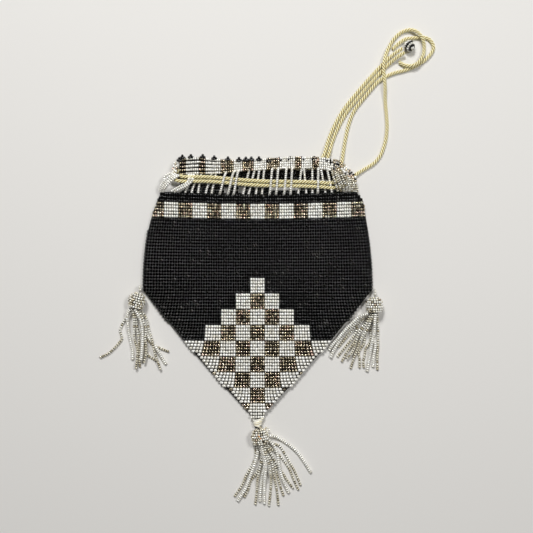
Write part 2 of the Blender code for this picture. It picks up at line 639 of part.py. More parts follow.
def tip_wrap(collection):
    """The thread lashing that holds the third tassel to the tip of the V, one bump for each turn."""
    groove = 0.25 * MM
    profile = [(0.0, 0.0), (0.0, WRAP_RADIUS - groove)]
    for k in range(1, 2 * WRAP_TURNS):
        profile.append((WRAP_LENGTH * k / (2 * WRAP_TURNS), WRAP_RADIUS - (groove if k % 2 == 0 else 0.0)))
    profile += [(WRAP_LENGTH, WRAP_RADIUS - groove), (WRAP_LENGTH, 0.0)]
    start = (0.0, TIP_Y - TOUCH_GAP, WRAP_RADIUS)
    return beaded_turning("tip_thread_wrap", profile, start, (0.0, -1.0, 0.0), CORD, collection, 10)


def knob(collection):
    """The beaded ball that the cords' ends are drawn into."""
    profile = [(0.0, 0.0)]
    for k in range(1, 2 * KNOB_BEAD_ROWS):
        turn = math.pi * k / (2 * KNOB_BEAD_ROWS)
        dip = 0.25 * MM if k % 2 == 0 else 0.0
        profile.append((KNOB_RADIUS * (1 - math.cos(turn)), KNOB_RADIUS * math.sin(turn) - dip))
    profile.append((2 * KNOB_RADIUS, 0.0))
    side = math.sqrt(0.5)
    return beaded_turning(
        "drawstring_ball", profile, (*KNOB_BASE, KNOB_RADIUS + 0.1 * MM), (side, side * 0.75, 0.0),
        GUNMETAL, collection, 12,
    )


def build():
    for old in list(bpy.data.objects):
        bpy.data.objects.remove(old)
    bag = bpy.data.collections.new("beaded_evening_bag")
    helpers = bpy.data.collections.new("helpers")
    bpy.context.scene.collection.children.link(bag)
    bpy.context.scene.collection.children.link(helpers)

    front_panel(bag)
    back_panel(bag)
    heading("front_heading", True, bag, helpers)
    heading("back_heading", False, bag, helpers)
    cord("drawstring_one", CORD_ONE, bag)
    cord("drawstring_two", CORD_TWO, bag)
    knob(bag)

    corner = CORNER_WIDTH / 2
    ring_side = LOOP_BEAD / 2 + TOUCH_GAP
    ring_reach = LOOP_RADIUS + LOOP_BEAD / 2
    left_ring = (-corner - ring_side, ring_reach - LEFT_CROWN_DROP + TOUCH_GAP, HEAD_RADIUS)
    right_ring = (corner + ring_side, ring_reach - RIGHT_CROWN_DROP + TOUCH_GAP, HEAD_RADIUS)
    tip_pivot = (TIP_CROWN_ASIDE / 2, TIP_Y - WRAP_LENGTH - 1.5 * TOUCH_GAP, HEAD_RADIUS)
    tip_wrap(bag)
    left_crown = (-corner - LEFT_CROWN_OUT, -LEFT_CROWN_DROP, HEAD_RADIUS)
    right_crown = (corner + RIGHT_CROWN_OUT, -RIGHT_CROWN_DROP, HEAD_RADIUS)
    tip_crown = (TIP_CROWN_ASIDE, TIP_Y - WRAP_LENGTH - 2 * TOUCH_GAP, HEAD_RADIUS)
    left = tassel("left_tassel", left_crown, (LEFT_TASSEL_SLANT, -1.0, 0.0), LEFT_STRANDS, bag)
    left.append(bead_ring("left_tassel_ring", left_ring, bag))
    hang("left_tassel", left, left_ring, bag)
    right = tassel("right_tassel", right_crown, (0.0, -1.0, 0.0), RIGHT_STRANDS, bag)
    right.append(bead_ring("right_tassel_ring", right_ring, bag))
    hang("right_tassel", right, right_ring, bag)
    tip = tassel("tip_tassel", tip_crown, (TIP_TASSEL_SLANT, -1.0, 0.0), TIP_STRANDS, bag)
    hang("tip_tassel", tip, tip_pivot, bag)


build()
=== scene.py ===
"""The looks of a beaded drawstring evening bag that lies flat on a pale table, seen from above."""

import bisect
import math

import bpy
import numpy as np
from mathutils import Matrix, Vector


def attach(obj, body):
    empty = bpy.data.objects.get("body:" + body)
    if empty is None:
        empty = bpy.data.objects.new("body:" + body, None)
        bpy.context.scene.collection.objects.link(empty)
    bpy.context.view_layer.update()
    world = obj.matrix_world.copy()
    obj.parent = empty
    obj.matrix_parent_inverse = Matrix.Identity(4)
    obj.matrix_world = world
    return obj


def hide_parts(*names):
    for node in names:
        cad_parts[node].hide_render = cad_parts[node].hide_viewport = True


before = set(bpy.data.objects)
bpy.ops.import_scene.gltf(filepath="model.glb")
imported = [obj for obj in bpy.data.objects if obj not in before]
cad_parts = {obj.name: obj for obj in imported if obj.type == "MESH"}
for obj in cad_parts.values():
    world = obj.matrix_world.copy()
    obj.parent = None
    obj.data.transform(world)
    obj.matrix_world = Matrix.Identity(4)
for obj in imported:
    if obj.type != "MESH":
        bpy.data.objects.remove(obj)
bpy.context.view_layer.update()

MM = 0.001

# Size 11/0 seed beads
BEAD_LONG = 1.6 * MM
BEAD_ROUND = 2.1 * MM
THREAD = 0.5 * MM
WOVEN_BEAD_ROUND = 1.96 * MM  # what a bead keeps of its row, with the thread between the rows
BLACK_FILL = 0.92  # how much of its column a bead takes up
PALE_FILL = 0.86
PIT_SPACING = 0.5 * MM  # the beads' uneven surface, drawn as coarse as it needs to show
PIT_DEPTH = 0.12 * MM

# The two panels, as in the solids
MOUTH_WIDTH = 135.0 * MM
CORNER_WIDTH = 154.5 * MM
TIP_WIDTH = 3.2 * MM
ROWS_ABOVE_CORNERS = 31
ROWS_BELOW_CORNERS = 41
SIDE_BOW = 0.45
V_BULGE = 2.0 * MM
SEAT_HEIGHT = 3.3 * MM
BACK_HEIGHT = 1.05 * MM
POCKET_HEIGHT = 5.0 * MM
TIP_FADE = 50.0 * MM
MOUTH_Y = ROWS_ABOVE_CORNERS * BEAD_ROUND
TIP_Y = -ROWS_BELOW_CORNERS * BEAD_ROUND
BACK_EXTRA_ROWS = 4
ROW_SAG = 2.4 * MM
SAG_LEVEL = 0.65  # where a sagging row keeps its height, as a share of the half width squared
MOUTH_DRIFT = 2.6 * MM  # the mouth lies a little to the right of the middle line

# The checks
CHECK_BEADS = 6
CHECK_ROWS = 5
BLACK_ROWS_OVER_BAND = 3
BAND_CHECKS = 15
HALF_COLUMNS = 45  # bead columns from the middle line to the side
SPREAD_POWER = 4  # the columns stand wider apart towards the sides
TIP_COLUMNS = 3.0
SEAM_MARGIN = 0.3 * BEAD_LONG
WEAVE_SCATTER = 0.05 * MM  # how far a woven bead lies off its place
WEAVE_LEAN = 0.05
DIAMOND_STARTS_AT_ROW = 27
DIAMOND_CHECK_ROWS = 9

# The heading and the casing
HEADING_ROWS = 5
HEADING_BEAD_STEP = 1.45 * MM
HEADING_HEIGHT = 7.3 * MM
PLEAT_HEIGHT = 0.8 * MM
PLEAT_PITCH = 16.0 * MM
UNDER_HEIGHT = 7.15 * MM
OVER_HEIGHT = 11.95 * MM
CASING_BEAD = 1.7 * MM
CASING_BEAD_LONG = 1.3 * MM
SHEET_DEPTH = 0.35 * MM  # how far the sheets of thread lie behind the beads' middle
SHEET_INSET = 0.6 * MM
STRUNG_THREAD_RADIUS = 0.55 * MM
CLOSE_STRUNG = 0.84  # how much of its step a strung bead takes up: the white lot
LOOSE_STRUNG = 0.76  # and the others

# The drawstring
CORD_DIAMETER = 2.5 * MM
CORD_PLIES = 3
CORD_TURN = 6.3 * MM
CORD_RING_STEP = 0.42 * MM
CORD_SIDES = 15
CORD_FIBRE = 0.25 * MM  # fibres, drawn as coarse as they need to show
KNOB_RADIUS = 4.0 * MM

# The tassels
PLAIN_BEAD, PLAIN_STEP = 1.85 * MM, 1.6 * MM
BRIGHT_BEAD, BRIGHT_STEP = 2.3 * MM, 1.4 * MM
STRAND_APART = 2.2 * MM
HEAD_RADIUS = 5.6 * MM
HEAD_LENGTH = 10.0 * MM
TABLE_CLEARANCE = 1.2 * MM  # the lowest strands' middle lies this high


def linear(code):
    """An sRGB hex colour as linear numbers."""
    parts = [int(code[k:k + 2], 16) / 255 for k in (1, 3, 5)]
    return tuple(c / 12.92 if c <= 0.04045 else ((c + 0.055) / 1.055) ** 2.4 for c in parts) + (1.0,)


def add(tree, kind, inputs=None, **settings):
    """Adds one node, with its settings, its fixed values and its links."""
    made = tree.nodes.new(kind)
    for name, value in settings.items():
        setattr(made, name, value)
    for socket, value in (inputs or {}).items():
        if isinstance(value, bpy.types.NodeSocket):
            tree.links.new(value, made.inputs[socket])
        else:
            made.inputs[socket].default_value = value
    return made


def ramp(tree, factor, stops):
    """A colour ramp from a list of places and sRGB colours."""
    made = add(tree, "ShaderNodeValToRGB", {"Fac": factor})
    elements = made.color_ramp.elements
    while len(elements) < len(stops):
        elements.new(0.5)
    for element, (place, code) in zip(elements, stops):
        element.position = place
        element.color = linear(code)
    return made.outputs["Color"]


def start_material(name):
    """A new material, its node tree and its shader."""
    made = bpy.data.materials.new(name)
    made.use_nodes = True
    return made, made.node_tree, made.node_tree.nodes["Principled BSDF"]


def uneven_surface(tree, shader, spacing, detail, strength, depth):
    """Small relief at a spacing, such as pits in glass or a cord's fibres."""
    place = add(tree, "ShaderNodeTexCoord").outputs["Object"]
    relief = add(tree, "ShaderNodeTexNoise", {"Vector": place, "Scale": 1 / spacing, "Detail": detail})
    bump = add(
        tree, "ShaderNodeBump",
        {"Height": relief.outputs["Fac"], "Strength": strength, "Distance": depth},
    )
    tree.links.new(bump.outputs["Normal"], shader.inputs["Normal"])


def fibre_colour(tree, shader, spacing, stops):
    """A cotton thread's colour, uneven at the spacing of its fibres."""
    place = add(tree, "ShaderNodeTexCoord").outputs["Object"]
    fibre = add(tree, "ShaderNodeTexNoise", {"Vector": place, "Scale": 1 / spacing})
    tree.links.new(ramp(tree, fibre.outputs["Fac"], stops), shader.inputs["Base Color"])


def painted_light_and_tone_colour(tree, shader, stops):
    """Colour from a ramp by each point's value: on the cord, painted shade in the grooves and painted
    highlight on the crests; on the wrap, a tone that changes by chance.
    """
    painted_light_and_tone = add(tree, "ShaderNodeAttribute", attribute_name="painted_light_and_tone").outputs["Fac"]
    tree.links.new(ramp(tree, painted_light_and_tone, stops), shader.inputs["Base Color"])


def bead_material(name, stops, roughness, metallic, bump_strength, ior=1.5):
    """Beads of one lot: each takes its own shade and polish, and its surface is slightly uneven."""
    made, tree, shader = start_material(name)
    shade = add(tree, "ShaderNodeNewGeometry").outputs["Random Per Island"]
    tree.links.new(ramp(tree, shade, stops), shader.inputs["Base Color"])
    spread = add(tree, "ShaderNodeMath", {0: shade, 1: 7.0}, operation="MULTIPLY")
    chance = add(tree, "ShaderNodeMath", {0: spread.outputs[0]}, operation="FRACT")
    polish = add(
        tree, "ShaderNodeMapRange",
        {"Value": chance.outputs[0], "To Min": roughness[0], "To Max": roughness[1]},
    )
    tree.links.new(polish.outputs["Result"], shader.inputs["Roughness"])
    shader.inputs["Metallic"].default_value = metallic
    shader.inputs["IOR"].default_value = ior
    uneven_surface(tree, shader, PIT_SPACING, 1.0, bump_strength, PIT_DEPTH)
    return made


def dark_thread():
    """Waxed black cotton thread: matt, and almost lost between the beads."""
    made, tree, shader = start_material("black_cotton_thread")
    fibre_colour(tree, shader, 0.4 * MM, [(0.3, "#040404"), (0.8, "#0e0d0d")])
    shader.inputs["Roughness"].default_value = 0.9
    shader.inputs["Specular IOR Level"].default_value = 0.05
    return made


def cream_cord():
    """Twisted artificial silk with a soft sheen: cream, with painted highlight on the plies' crests and
    painted shade, tan to near black, in the grooves.
    """
    made, tree, shader = start_material("cream_silk_cord")
    # painted shade in the grooves, painted highlight on the crests
    painted_light_and_tone_colour(tree, shader, [(0.0, "#22160a"), (0.22, "#80602a"), (0.42, "#f6dc88"), (0.68, "#fffbcc")])
    shader.inputs["Roughness"].default_value = 0.55
    shader.inputs["Sheen Weight"].default_value = 0.1
    uneven_surface(tree, shader, CORD_FIBRE, 3.0, 0.4, 0.1 * MM)
    return made


def pale_thread():
    """Unbleached cotton thread wound on itself, pale to tan in patches that change by chance along the
    thread.
    """
    made, tree, shader = start_material("unbleached_cotton_thread")
    painted_light_and_tone_colour(tree, shader, [(0.0, "#7d6b45"), (0.35, "#ddd2ac"), (0.7, "#f8f3df"), (1.0, "#fffdf3")])
    shader.inputs["Roughness"].default_value = 0.7
    return made


def orange_thread():
    """A mending stitch in orange cotton."""
    made, tree, shader = start_material("orange_cotton_thread")
    fibre_colour(tree, shader, 0.3 * MM, [(0.3, "#c9803a"), (0.7, "#f0b468")])
    shader.inputs["Roughness"].default_value = 0.8
    return made


# Opaque black pressed glass, fire polished: near black, with a small hard highlight on each bead; the few
# grey beads at the top of the ramp are painted highlight, standing for the brighter glints
BLACK = bead_material(
    # the last stops, grey, are painted highlight on a few beads
    "black_glass_beads", [(0.0, "#010101"), (0.9, "#040404"), (0.95, "#1c1c1b"), (1.0, "#4c4b48")],
    (0.04, 0.14), 0.0, 0.06, 1.62,
)
# Opaque white glass under a lustre film: off-white from every side, with the film's strong highlight
SILVER = bead_material(
    "lustred_white_beads", [(0.0, "#e6e2d4"), (0.12, "#f7f4e9"), (0.5, "#fefcf3"), (1.0, "#fffffb")],
    (0.16, 0.3), 0.1, 0.15, 2.2,
)
# Dark plated metal: grey and bronze beads with a few pink and straw-coloured ones
GUNMETAL = bead_material(
    "gunmetal_beads", [
        (0.0, "#7d7464"), (0.25, "#bdb29c"), (0.5, "#d8ccb2"),
        (0.7, "#ece1c8"), (0.85, "#dcc0b0"), (1.0, "#fdf7e6"),
    ],
    (0.14, 0.32), 1.0, 0.15,
)
# The loose strands: white and grey lustred glass strung as it comes
MIXED = bead_material(
    "mixed_lustre_beads",
    [(0.0, "#a89d80"), (0.2, "#d9d0b6"), (0.45, "#f1ebd6"), (0.75, "#fbf8ea"), (1.0, "#fffef6")],
    (0.14, 0.3), 0.1, 0.15, 2.1,
)
DARK_THREAD = dark_thread()
CREAM = cream_cord()
PALE = pale_thread()
ORANGE = orange_thread()
SLOTS = {
    BLACK: "black_beads", SILVER: "silver_beads", GUNMETAL: "gunmetal_beads", MIXED: "gunmetal_beads",
    DARK_THREAD: "black_beads", CREAM: "cotton_cord", PALE: "cotton_cord", ORANGE: "cotton_cord",
}


def finish_piece(name, mesh, finish, body, nodes):
    """Links a new piece, with its finish, its body and the solids that it stands for."""
    made = bpy.data.objects.new(name, mesh)
    bpy.context.scene.collection.objects.link(made)
    mesh.materials.append(finish)
    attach(made, body)
    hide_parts(*nodes)
    return made


def tube_faces(rings, sides):
    """The four-cornered faces between rings of points, all of the same number of sides."""
    faces = []
    for ring in range(rings - 1):
        for k in range(sides):
            a, b = ring * sides + k, ring * sides + (k + 1) % sides
            faces.append((a, b, b + sides, a + sides))
    return np.array(faces)


def round_section(radius, sides):
    """A round section as turns and radii."""
    return [(math.tau * k / sides, radius) for k in range(sides)]


# A bead's profile along its hole, as (place, radius) for a length and a diameter of 1
ROUND_BEAD = ((-0.5, 0.2), (-0.35, 0.41), (0.0, 0.5), (0.35, 0.41), (0.5, 0.2))
CUT_BEAD = ((-0.5, 0.28), (-0.3, 0.48), (0.3, 0.48), (0.5, 0.28))


def bead_form(rings, sides):
    """One seed bead of unit length and diameter, its hole along X, from its profile's places and radii."""
    places = []
    for x, radius in rings:
        for k in range(sides):
            turn = math.tau * k / sides
            places.append((x, radius * math.cos(turn), radius * math.sin(turn)))
    return np.array(places), tube_faces(len(rings), sides)


class Beads:
    """A growing list of beads of one finish, made into one piece at the end."""

    def __init__(self, finish, sides, seed):
        self.finish = finish
        self.sides = sides
        self.chance = np.random.default_rng(seed)
        self.places = []

    def put(self, centre, along, long, across):
        """Adds a bead: where its middle is, which way its hole runs, and its length and width."""
        self.places.append((*centre, *along, long, across))

    def piece(self, name, body, nodes):
        """Makes the piece, each bead turned by chance about its hole and a little uneven in size."""
        form, faces = bead_form(CUT_BEAD if self.finish is SILVER else ROUND_BEAD, self.sides)
        data = np.array(self.places)
        centre, along = data[:, 0:3], data[:, 3:6]
        along = along / np.linalg.norm(along, axis=1, keepdims=True)
        up = np.where(np.abs(along[:, 2:3]) > 0.9, (0.0, 1.0, 0.0), (0.0, 0.0, 1.0))
        side = np.cross(up, along)
        side /= np.linalg.norm(side, axis=1, keepdims=True)
        up = np.cross(along, side)
        roll = self.chance.uniform(0, math.tau, len(data))[:, None]
        first = np.cos(roll) * side + np.sin(roll) * up
        second = -np.sin(roll) * side + np.cos(roll) * up
        size = self.chance.normal(1.0, 0.025, (len(data), 2)).clip(0.93, 1.07)
        x = along[:, None, :] * form[None, :, 0:1] * (data[:, 6] * size[:, 0])[:, None, None]
        y = first[:, None, :] * form[None, :, 1:2] * (data[:, 7] * size[:, 1])[:, None, None]
        z = second[:, None, :] * form[None, :, 2:3] * (data[:, 7] * size[:, 1])[:, None, None]
        points = centre[:, None, :] + x + y + z
        starts = np.arange(len(data)) * len(form)
        corners = (faces[None, :, :] + starts[:, None, None]).reshape(-1, 4)
        mesh = quads(name, points.reshape(-1, 3), corners)
        mesh.shade_smooth()
        finish_piece(name, mesh, self.finish, body, nodes)


def bead_lots(first_seed, *finishes):
    """A list of beads for each finish; the faceted lots have seven sides."""
    return {
        finish: Beads(finish, 7 if finish in (GUNMETAL, MIXED) else 8, first_seed + k)
        for k, finish in enumerate(finishes)
    }


def quads(name, points, corners):
    """A mesh from arrays of points and four-cornered faces."""
    mesh = bpy.data.meshes.new(name)
    mesh.vertices.add(len(points))
    mesh.vertices.foreach_set("co", np.ravel(points).astype(np.float32))
    mesh.loops.add(corners.size)
    mesh.loops.foreach_set("vertex_index", np.ravel(corners).astype(np.int32))
    mesh.polygons.add(len(corners))
    mesh.polygons.foreach_set("loop_start", (np.arange(len(corners)) * 4).astype(np.int32))
    mesh.update(calc_edges=True)
    mesh.validate()
    return mesh


def sweep(points, outline, turn_length=None):
    """Rings of points along a path, each the outline turned a little further, and the faces between them."""
    path = [Vector(p) for p in points]
    along = [(b - a).normalized() for a, b in zip(path, path[1:])]
    along.append(along[-1])
    side = along[0].orthogonal().normalized()
    rings = []
    gone = 0.0
    for k, place in enumerate(path):
        if k:
            gone += (place - path[k - 1]).length
        ahead = along[k] if k == 0 else (along[k - 1] + along[k]).normalized()
        side = (side - ahead * side.dot(ahead)).normalized()
        other = ahead.cross(side)
        twist = -math.tau * gone / turn_length if turn_length else 0.0
        ring = []
        for turn, radius in outline:
            ring.append(place + radius * (math.cos(turn + twist) * side + math.sin(turn + twist) * other))
        rings.append(ring)
    return np.array([p for ring in rings for p in ring]), tube_faces(len(rings), len(outline))


def smooth_route(points, step):
    """Points about a step apart on a smooth curve through given ones."""
    places = [Vector(p) * MM for p in points]
    places = [2 * places[0] - places[1], *places, 2 * places[-1] - places[-2]]
    fine = []
    parts = 16
    for a, b, c, d in zip(places, places[1:], places[2:], places[3:]):
        for k in range(parts):
            t = k / parts
            fine.append(
                0.5 * (2 * b + (c - a) * t + (2 * a - 5 * b + 4 * c - d) * t**2
                       + (3 * b - a - 3 * c + d) * t**3)
            )
    fine.append(places[-2])
    along = [0.0]
    for a, b in zip(fine, fine[1:]):
        along.append(along[-1] + (b - a).length)
    count = max(2, round(along[-1] / step))
    route = []
    for k in range(count + 1):
        want = along[-1] * k / count
        i = min(bisect.bisect_right(along, want), len(along) - 1)
        part = (want - along[i - 1]) / (along[i] - along[i - 1])
        route.append(fine[i - 1].lerp(fine[i], part))
    return route


PICTURE_WIDTH = 357.0 * MM
PICTURE_CENTRE = (6.0 * MM, 15.75 * MM)
LENS = 60.0
SENSOR = 36.0


def camera():
    """Looks straight down, with the picture's width at the height of the panels."""
    data = bpy.data.cameras.new("camera")
    data.lens = LENS
    data.sensor_width = SENSOR
    made = bpy.data.objects.new("camera", data)
    made.location = (*PICTURE_CENTRE, PICTURE_WIDTH * LENS / SENSOR + SEAT_HEIGHT)
    bpy.context.scene.collection.objects.link(made)
    bpy.context.scene.camera = made


# The drawstring's two cords, each a whole loop from the ball, through the casing, and back.
# Millimetres, in order along the cord.
CORD_ONE = [
    (97, 161.6, 4.2), (91.5, 158.2, 3.2), (84.3, 151.9, 1.4), (75.4, 142.5, 1.35), (66.2, 131.7, 1.35),
    (57.7, 121, 1.35), (51.2, 109.4, 1.35), (47.2, 99.5, 1.6), (44.7, 91, 3.5), (42, 87.2, 3.6),
    (36, 85.4, 3.6), (20, 85, 3.6), (-20, 85, 3.6), (-40, 84.6, 3.6), (-50, 81, 3.8), (-54.5, 78.6, 4.6),
    (-55.8, 75.6, 6.8), (-54, 73, 9), (-49, 72.2, 9.6), (-42, 72.2, 9.6), (-30, 72, 9.6), (0, 69.6, 9.6),
    (30, 69, 9.6), (44, 68.4, 9.4), (49.5, 68.2, 7), (54.5, 69, 3.7), (59.5, 71.8, 3.7), (63.5, 75.6, 3.2),
    (67.5, 78.5, 2), (72.5, 81.5, 1.35), (78, 85, 1.35), (82, 89.5, 1.35), (84.5, 95, 1.35),
    (86.3, 102, 1.35), (87, 110, 1.35), (86.5, 118.5, 1.35), (85.8, 126, 1.5), (85.5, 131.5, 3),
    (85.3, 136.5, 4.2), (84.8, 142, 4.3), (84.3, 147.5, 4.3), (84.6, 152.5, 4.2), (86, 158, 2.6),
    (88.5, 163.5, 1.4), (92, 169, 1.35), (96.5, 173, 1.4), (102, 174.5, 2.6), (106.5, 172.8, 4.1),
    (110, 169, 4.3), (111.6, 164.5, 3), (111.5, 160, 2.8), (110.2, 156, 4.1), (107.5, 152.2, 4.3),
    (103, 150, 4.1), (98.5, 150.9, 2.2), (95, 153.2, 1.5),
]
CORD_TWO = [
    (98.5, 158.8, 4.2), (93.3, 155.8, 3.2), (86.2, 149.8, 1.4), (77.6, 140.7, 1.35), (68.3, 129.9, 1.35),
    (59.9, 119.4, 1.35), (53.8, 108.3, 1.35), (49.9, 98.5, 1.6), (47.5, 90.3, 3.5), (45.2, 85.6, 3.5),
    (39, 82.4, 3.6), (20, 82, 3.6), (-20, 82, 3.6), (-40, 81.4, 3.6), (-46, 79.6, 3.7), (-50, 78, 4.6),
    (-51.5, 76.6, 6.6), (-50, 75.4, 9), (-46, 75.1, 9.6), (-40, 75.1, 9.6), (-30, 74.9, 9.6),
    (0, 72.5, 9.6), (30, 71.9, 9.6), (42.5, 71.4, 9.4), (48, 71.4, 7.2), (52.5, 73, 3.8), (54.9, 77.5, 3.6),
    (56, 83, 3.6), (57, 89, 2.4), (58.3, 97, 1.35), (60, 106, 1.35), (61.8, 113, 1.35), (65, 120.5, 1.35),
    (70.5, 127.8, 1.35), (79.8, 138.7, 1.35), (85.5, 143, 1.35), (92, 145.8, 1.35), (98, 147.3, 1.35),
    (104.5, 149.6, 1.35), (110.5, 153, 1.35), (115, 156.8, 1.35), (117.8, 161, 1.35), (118, 164.5, 1.35),
    (115.5, 168.3, 1.35), (111, 169.8, 1.35), (105.5, 169.4, 1.35), (99.6, 168.6, 1.5), (94.6, 165.4, 1.4),
    (90.6, 161.6, 1.35),
]


def twisted_cord(name, points, node):
    """Three plies twisted round each other, as one tube whose section has three lobes."""
    route = smooth_route(points, CORD_RING_STEP)
    turns = [math.tau * k / CORD_SIDES for k in range(CORD_SIDES)]
    lobes = [math.cos(CORD_PLIES * turn / 2) ** 2 for turn in turns]
    outline = [(turn, CORD_DIAMETER / 2 * (0.5 + 0.5 * lobe**0.6)) for turn, lobe in zip(turns, lobes)]
    places, corners = sweep(route, outline, CORD_TURN)
    mesh = quads(name, places, corners)
    mesh.shade_smooth()
    # each point's value: low in the grooves for painted shade, high on the crests for painted highlight
    painted_light_and_tone = mesh.attributes.new("painted_light_and_tone", "FLOAT", "POINT")
    painted_light_and_tone.data.foreach_set("value", np.tile(lobes, len(route)).astype(np.float32))
    return finish_piece(name, mesh, CREAM, "bag", [node]), route


def half_width(y):
    """Half the panel's width at a height on the bag."""
    if y >= 0:
        share = 1 - (y / MOUTH_Y) ** (1 / SIDE_BOW)
        return (MOUTH_WIDTH + (CORNER_WIDTH - MOUTH_WIDTH) * share) / 2
    share = y / TIP_Y
    straight = CORNER_WIDTH / 2 + (TIP_WIDTH - CORNER_WIDTH) / 2 * share
    return straight + V_BULGE * math.sin(math.pi * share)


def pillow(x, y):
    """The front panel's height: full in the middle, down to the seams at the sides."""
    half = half_width(y)
    across = max(-1.0, min(1.0, x / half))
    fade = math.sin(min(1.0, half / TIP_FADE) * math.pi / 2)
    return SEAT_HEIGHT + POCKET_HEIGHT * (1 - across**4) * fade


def sag(x, y):
    """The bead rows under the mouth hang a little lower in the middle than at the sides."""
    fade = max(0.0, min(1.0, y / MOUTH_Y))
    return ROW_SAG * fade * ((x / half_width(y)) ** 2 - SAG_LEVEL)


def drift(y):
    """How far a bead row lies to the right of the middle line."""
    return MOUTH_DRIFT * max(0.0, min(1.0, y / MOUTH_Y)) ** 4


def check_colour(column_bead, row):
    """Which lot of beads a place in the weave takes."""
    column = math.floor((column_bead + CHECK_BEADS / 2) / CHECK_BEADS)
    if 0 <= row - BLACK_ROWS_OVER_BAND < CHECK_ROWS:
        if abs(column) <= BAND_CHECKS // 2:
            return SILVER if column % 2 == 0 else GUNMETAL
        return GUNMETAL
    level = (row - DIAMOND_STARTS_AT_ROW) // CHECK_ROWS + 1
    if 1 <= level <= DIAMOND_CHECK_ROWS and abs(column) < level:
        return SILVER if (abs(column) + level) % 2 == 1 else GUNMETAL
    return BLACK


# Open spots in the back's topmost rows, in millimetres: (left, right, bottom, top)
OPEN_SPOTS = [
    (-70, -53, 66, 76), (-22.5, -19.0, 65, 69.5), (-12.5, -9.0, 65, 69.5), (7.5, 28.5, 66.2, 69),
    (58, 75, 65, 76),
]
# The mouth's rounded right corner, in millimetres: the line that cuts it off, and where it starts
ROUNDED_X, ROUNDED_Y, ROUNDED_SLOPE = 66.4, 64.0, 0.8
ROUNDED_FROM, ROUNDED_OVER = 59, 6
ROUNDED_BY = 3.4 * MM


def in_open_spot(x, y, above_mouth):
    """True where a bead is left out: in a small hole over the mouth, or at its rounded right corner."""
    x, y = x / MM, y / MM
    if above_mouth:
        return any(left < x < right and low < y < top for left, right, low, top in OPEN_SPOTS)
    return x > ROUNDED_X + ROUNDED_SLOPE * (ROUNDED_Y - y) and y > ROUNDED_FROM


def columns_at(y):
    """How many bead columns a row has on each side: the V loses them evenly down to its tip."""
    return max(TIP_COLUMNS, HALF_COLUMNS * (1 - y / TIP_Y)) if y < 0 else float(HALF_COLUMNS)


def column_place(column, y):
    """Where a column stands in a row: close together in the middle, wider apart at the sides."""
    columns = columns_at(y)
    spare = max(0.0, half_width(y) - columns * BEAD_LONG)
    return column * BEAD_LONG + math.copysign(spare * (abs(column) / columns) ** SPREAD_POWER, column)


def panel(front):
    """One panel of the bag, bead by bead, on its thread."""
    rows = ROWS_ABOVE_CORNERS + ROWS_BELOW_CORNERS
    label = "front" if front else "back"
    lots = {
        ("black_upper", BLACK): Beads(BLACK, 8, 11),
        ("black_lower", BLACK): Beads(BLACK, 8, 12),
        ("silver", SILVER): Beads(SILVER, 8, 13),
        ("gunmetal", GUNMETAL): Beads(GUNMETAL, 7, 14),
    }
    chance = np.random.default_rng(5 if front else 6)
    for row in range(0 if front else -BACK_EXTRA_ROWS, rows):
        y = MOUTH_Y - (row + 0.5) * BEAD_ROUND
        half, moved = half_width(y), drift(y)
        count = round(columns_at(y)) + (2 if y > 0 else 0)
        for n in range(-count, count):
            x = column_place(n + 0.5, y)
            if y > 0 and abs(x - moved) > half - SEAM_MARGIN:
                continue
            if in_open_spot(x, y, row < 0):
                continue
            lot = check_colour(n, row)
            if not front and row >= BLACK_ROWS_OVER_BAND + CHECK_ROWS:
                lot = BLACK
            black_lot = "black_upper" if y > 0 else "black_lower"
            key = {BLACK: black_lot, SILVER: "silver", GUNMETAL: "gunmetal"}[lot]
            step = BEAD_LONG / 2
            if front:
                high = pillow(x - moved, y)
                slope = (pillow(x - moved + step, y) - pillow(x - moved - step, y)) / (2 * step)
                shift = sag(x, y)
                lean = (sag(x + step, y) - sag(x - step, y)) / (2 * step)
            else:
                high, slope, shift, lean = BACK_HEIGHT, 0.0, 0.0, 0.0
            dx, dy, dz = chance.normal(0.0, WEAVE_SCATTER, 3)
            centre = (x + dx, y + shift + dy, max(high + dz, BACK_HEIGHT))
            ahead = (1.0, lean + chance.normal(0, WEAVE_LEAN), slope + chance.normal(0, WEAVE_LEAN))
            wide = abs(column_place(n + 1.0, y) - column_place(float(n), y))
            fill = BLACK_FILL if lot is BLACK else PALE_FILL
            lots[(key, lot)].put(centre, ahead, fill * wide, WOVEN_BEAD_ROUND)
    for (key, lot), beads in lots.items():
        if beads.places:
            beads.piece(f"{label}_{key}_beads", "bag", [f"{label}_panel"])
    thread_sheet(label, front)


def thread_piece(name, points, corners, nodes):
    """A thin dark sheet of threads, with its thickness."""
    made = finish_piece(name, quads(name, np.array(points), np.array(corners)), DARK_THREAD, "bag", nodes)
    thick = made.modifiers.new("thick", "SOLIDIFY")
    thick.thickness = THREAD
    thick.offset = 0.0


def thread_sheet(label, front):
    """The threads behind the beads, as one sheet with the mouth's right corner rounded."""
    columns = 48
    rows = 72
    depth = SHEET_DEPTH if front else -SHEET_DEPTH
    points = []
    for k in range(rows + 1):
        y = MOUTH_Y + (TIP_Y - MOUTH_Y) * k / rows
        half = half_width(y) - SHEET_INSET
        rounded = ROUNDED_BY * max(0.0, (y / MM - ROUNDED_FROM) / ROUNDED_OVER)
        for n in range(columns + 1):
            x = (2 * half - rounded) * n / columns - half
            high = pillow(x, y) if front else BACK_HEIGHT
            points.append((x + drift(y), y + (sag(x, y) if front else 0.0), high - depth))
    corners = []
    for k in range(rows):
        for n in range(columns):
            a = k * (columns + 1) + n
            corners.append((a, a + columns + 1, a + columns + 2, a + 1))
    thread_piece(f"{label}_threads", points, corners, [f"{label}_panel"])


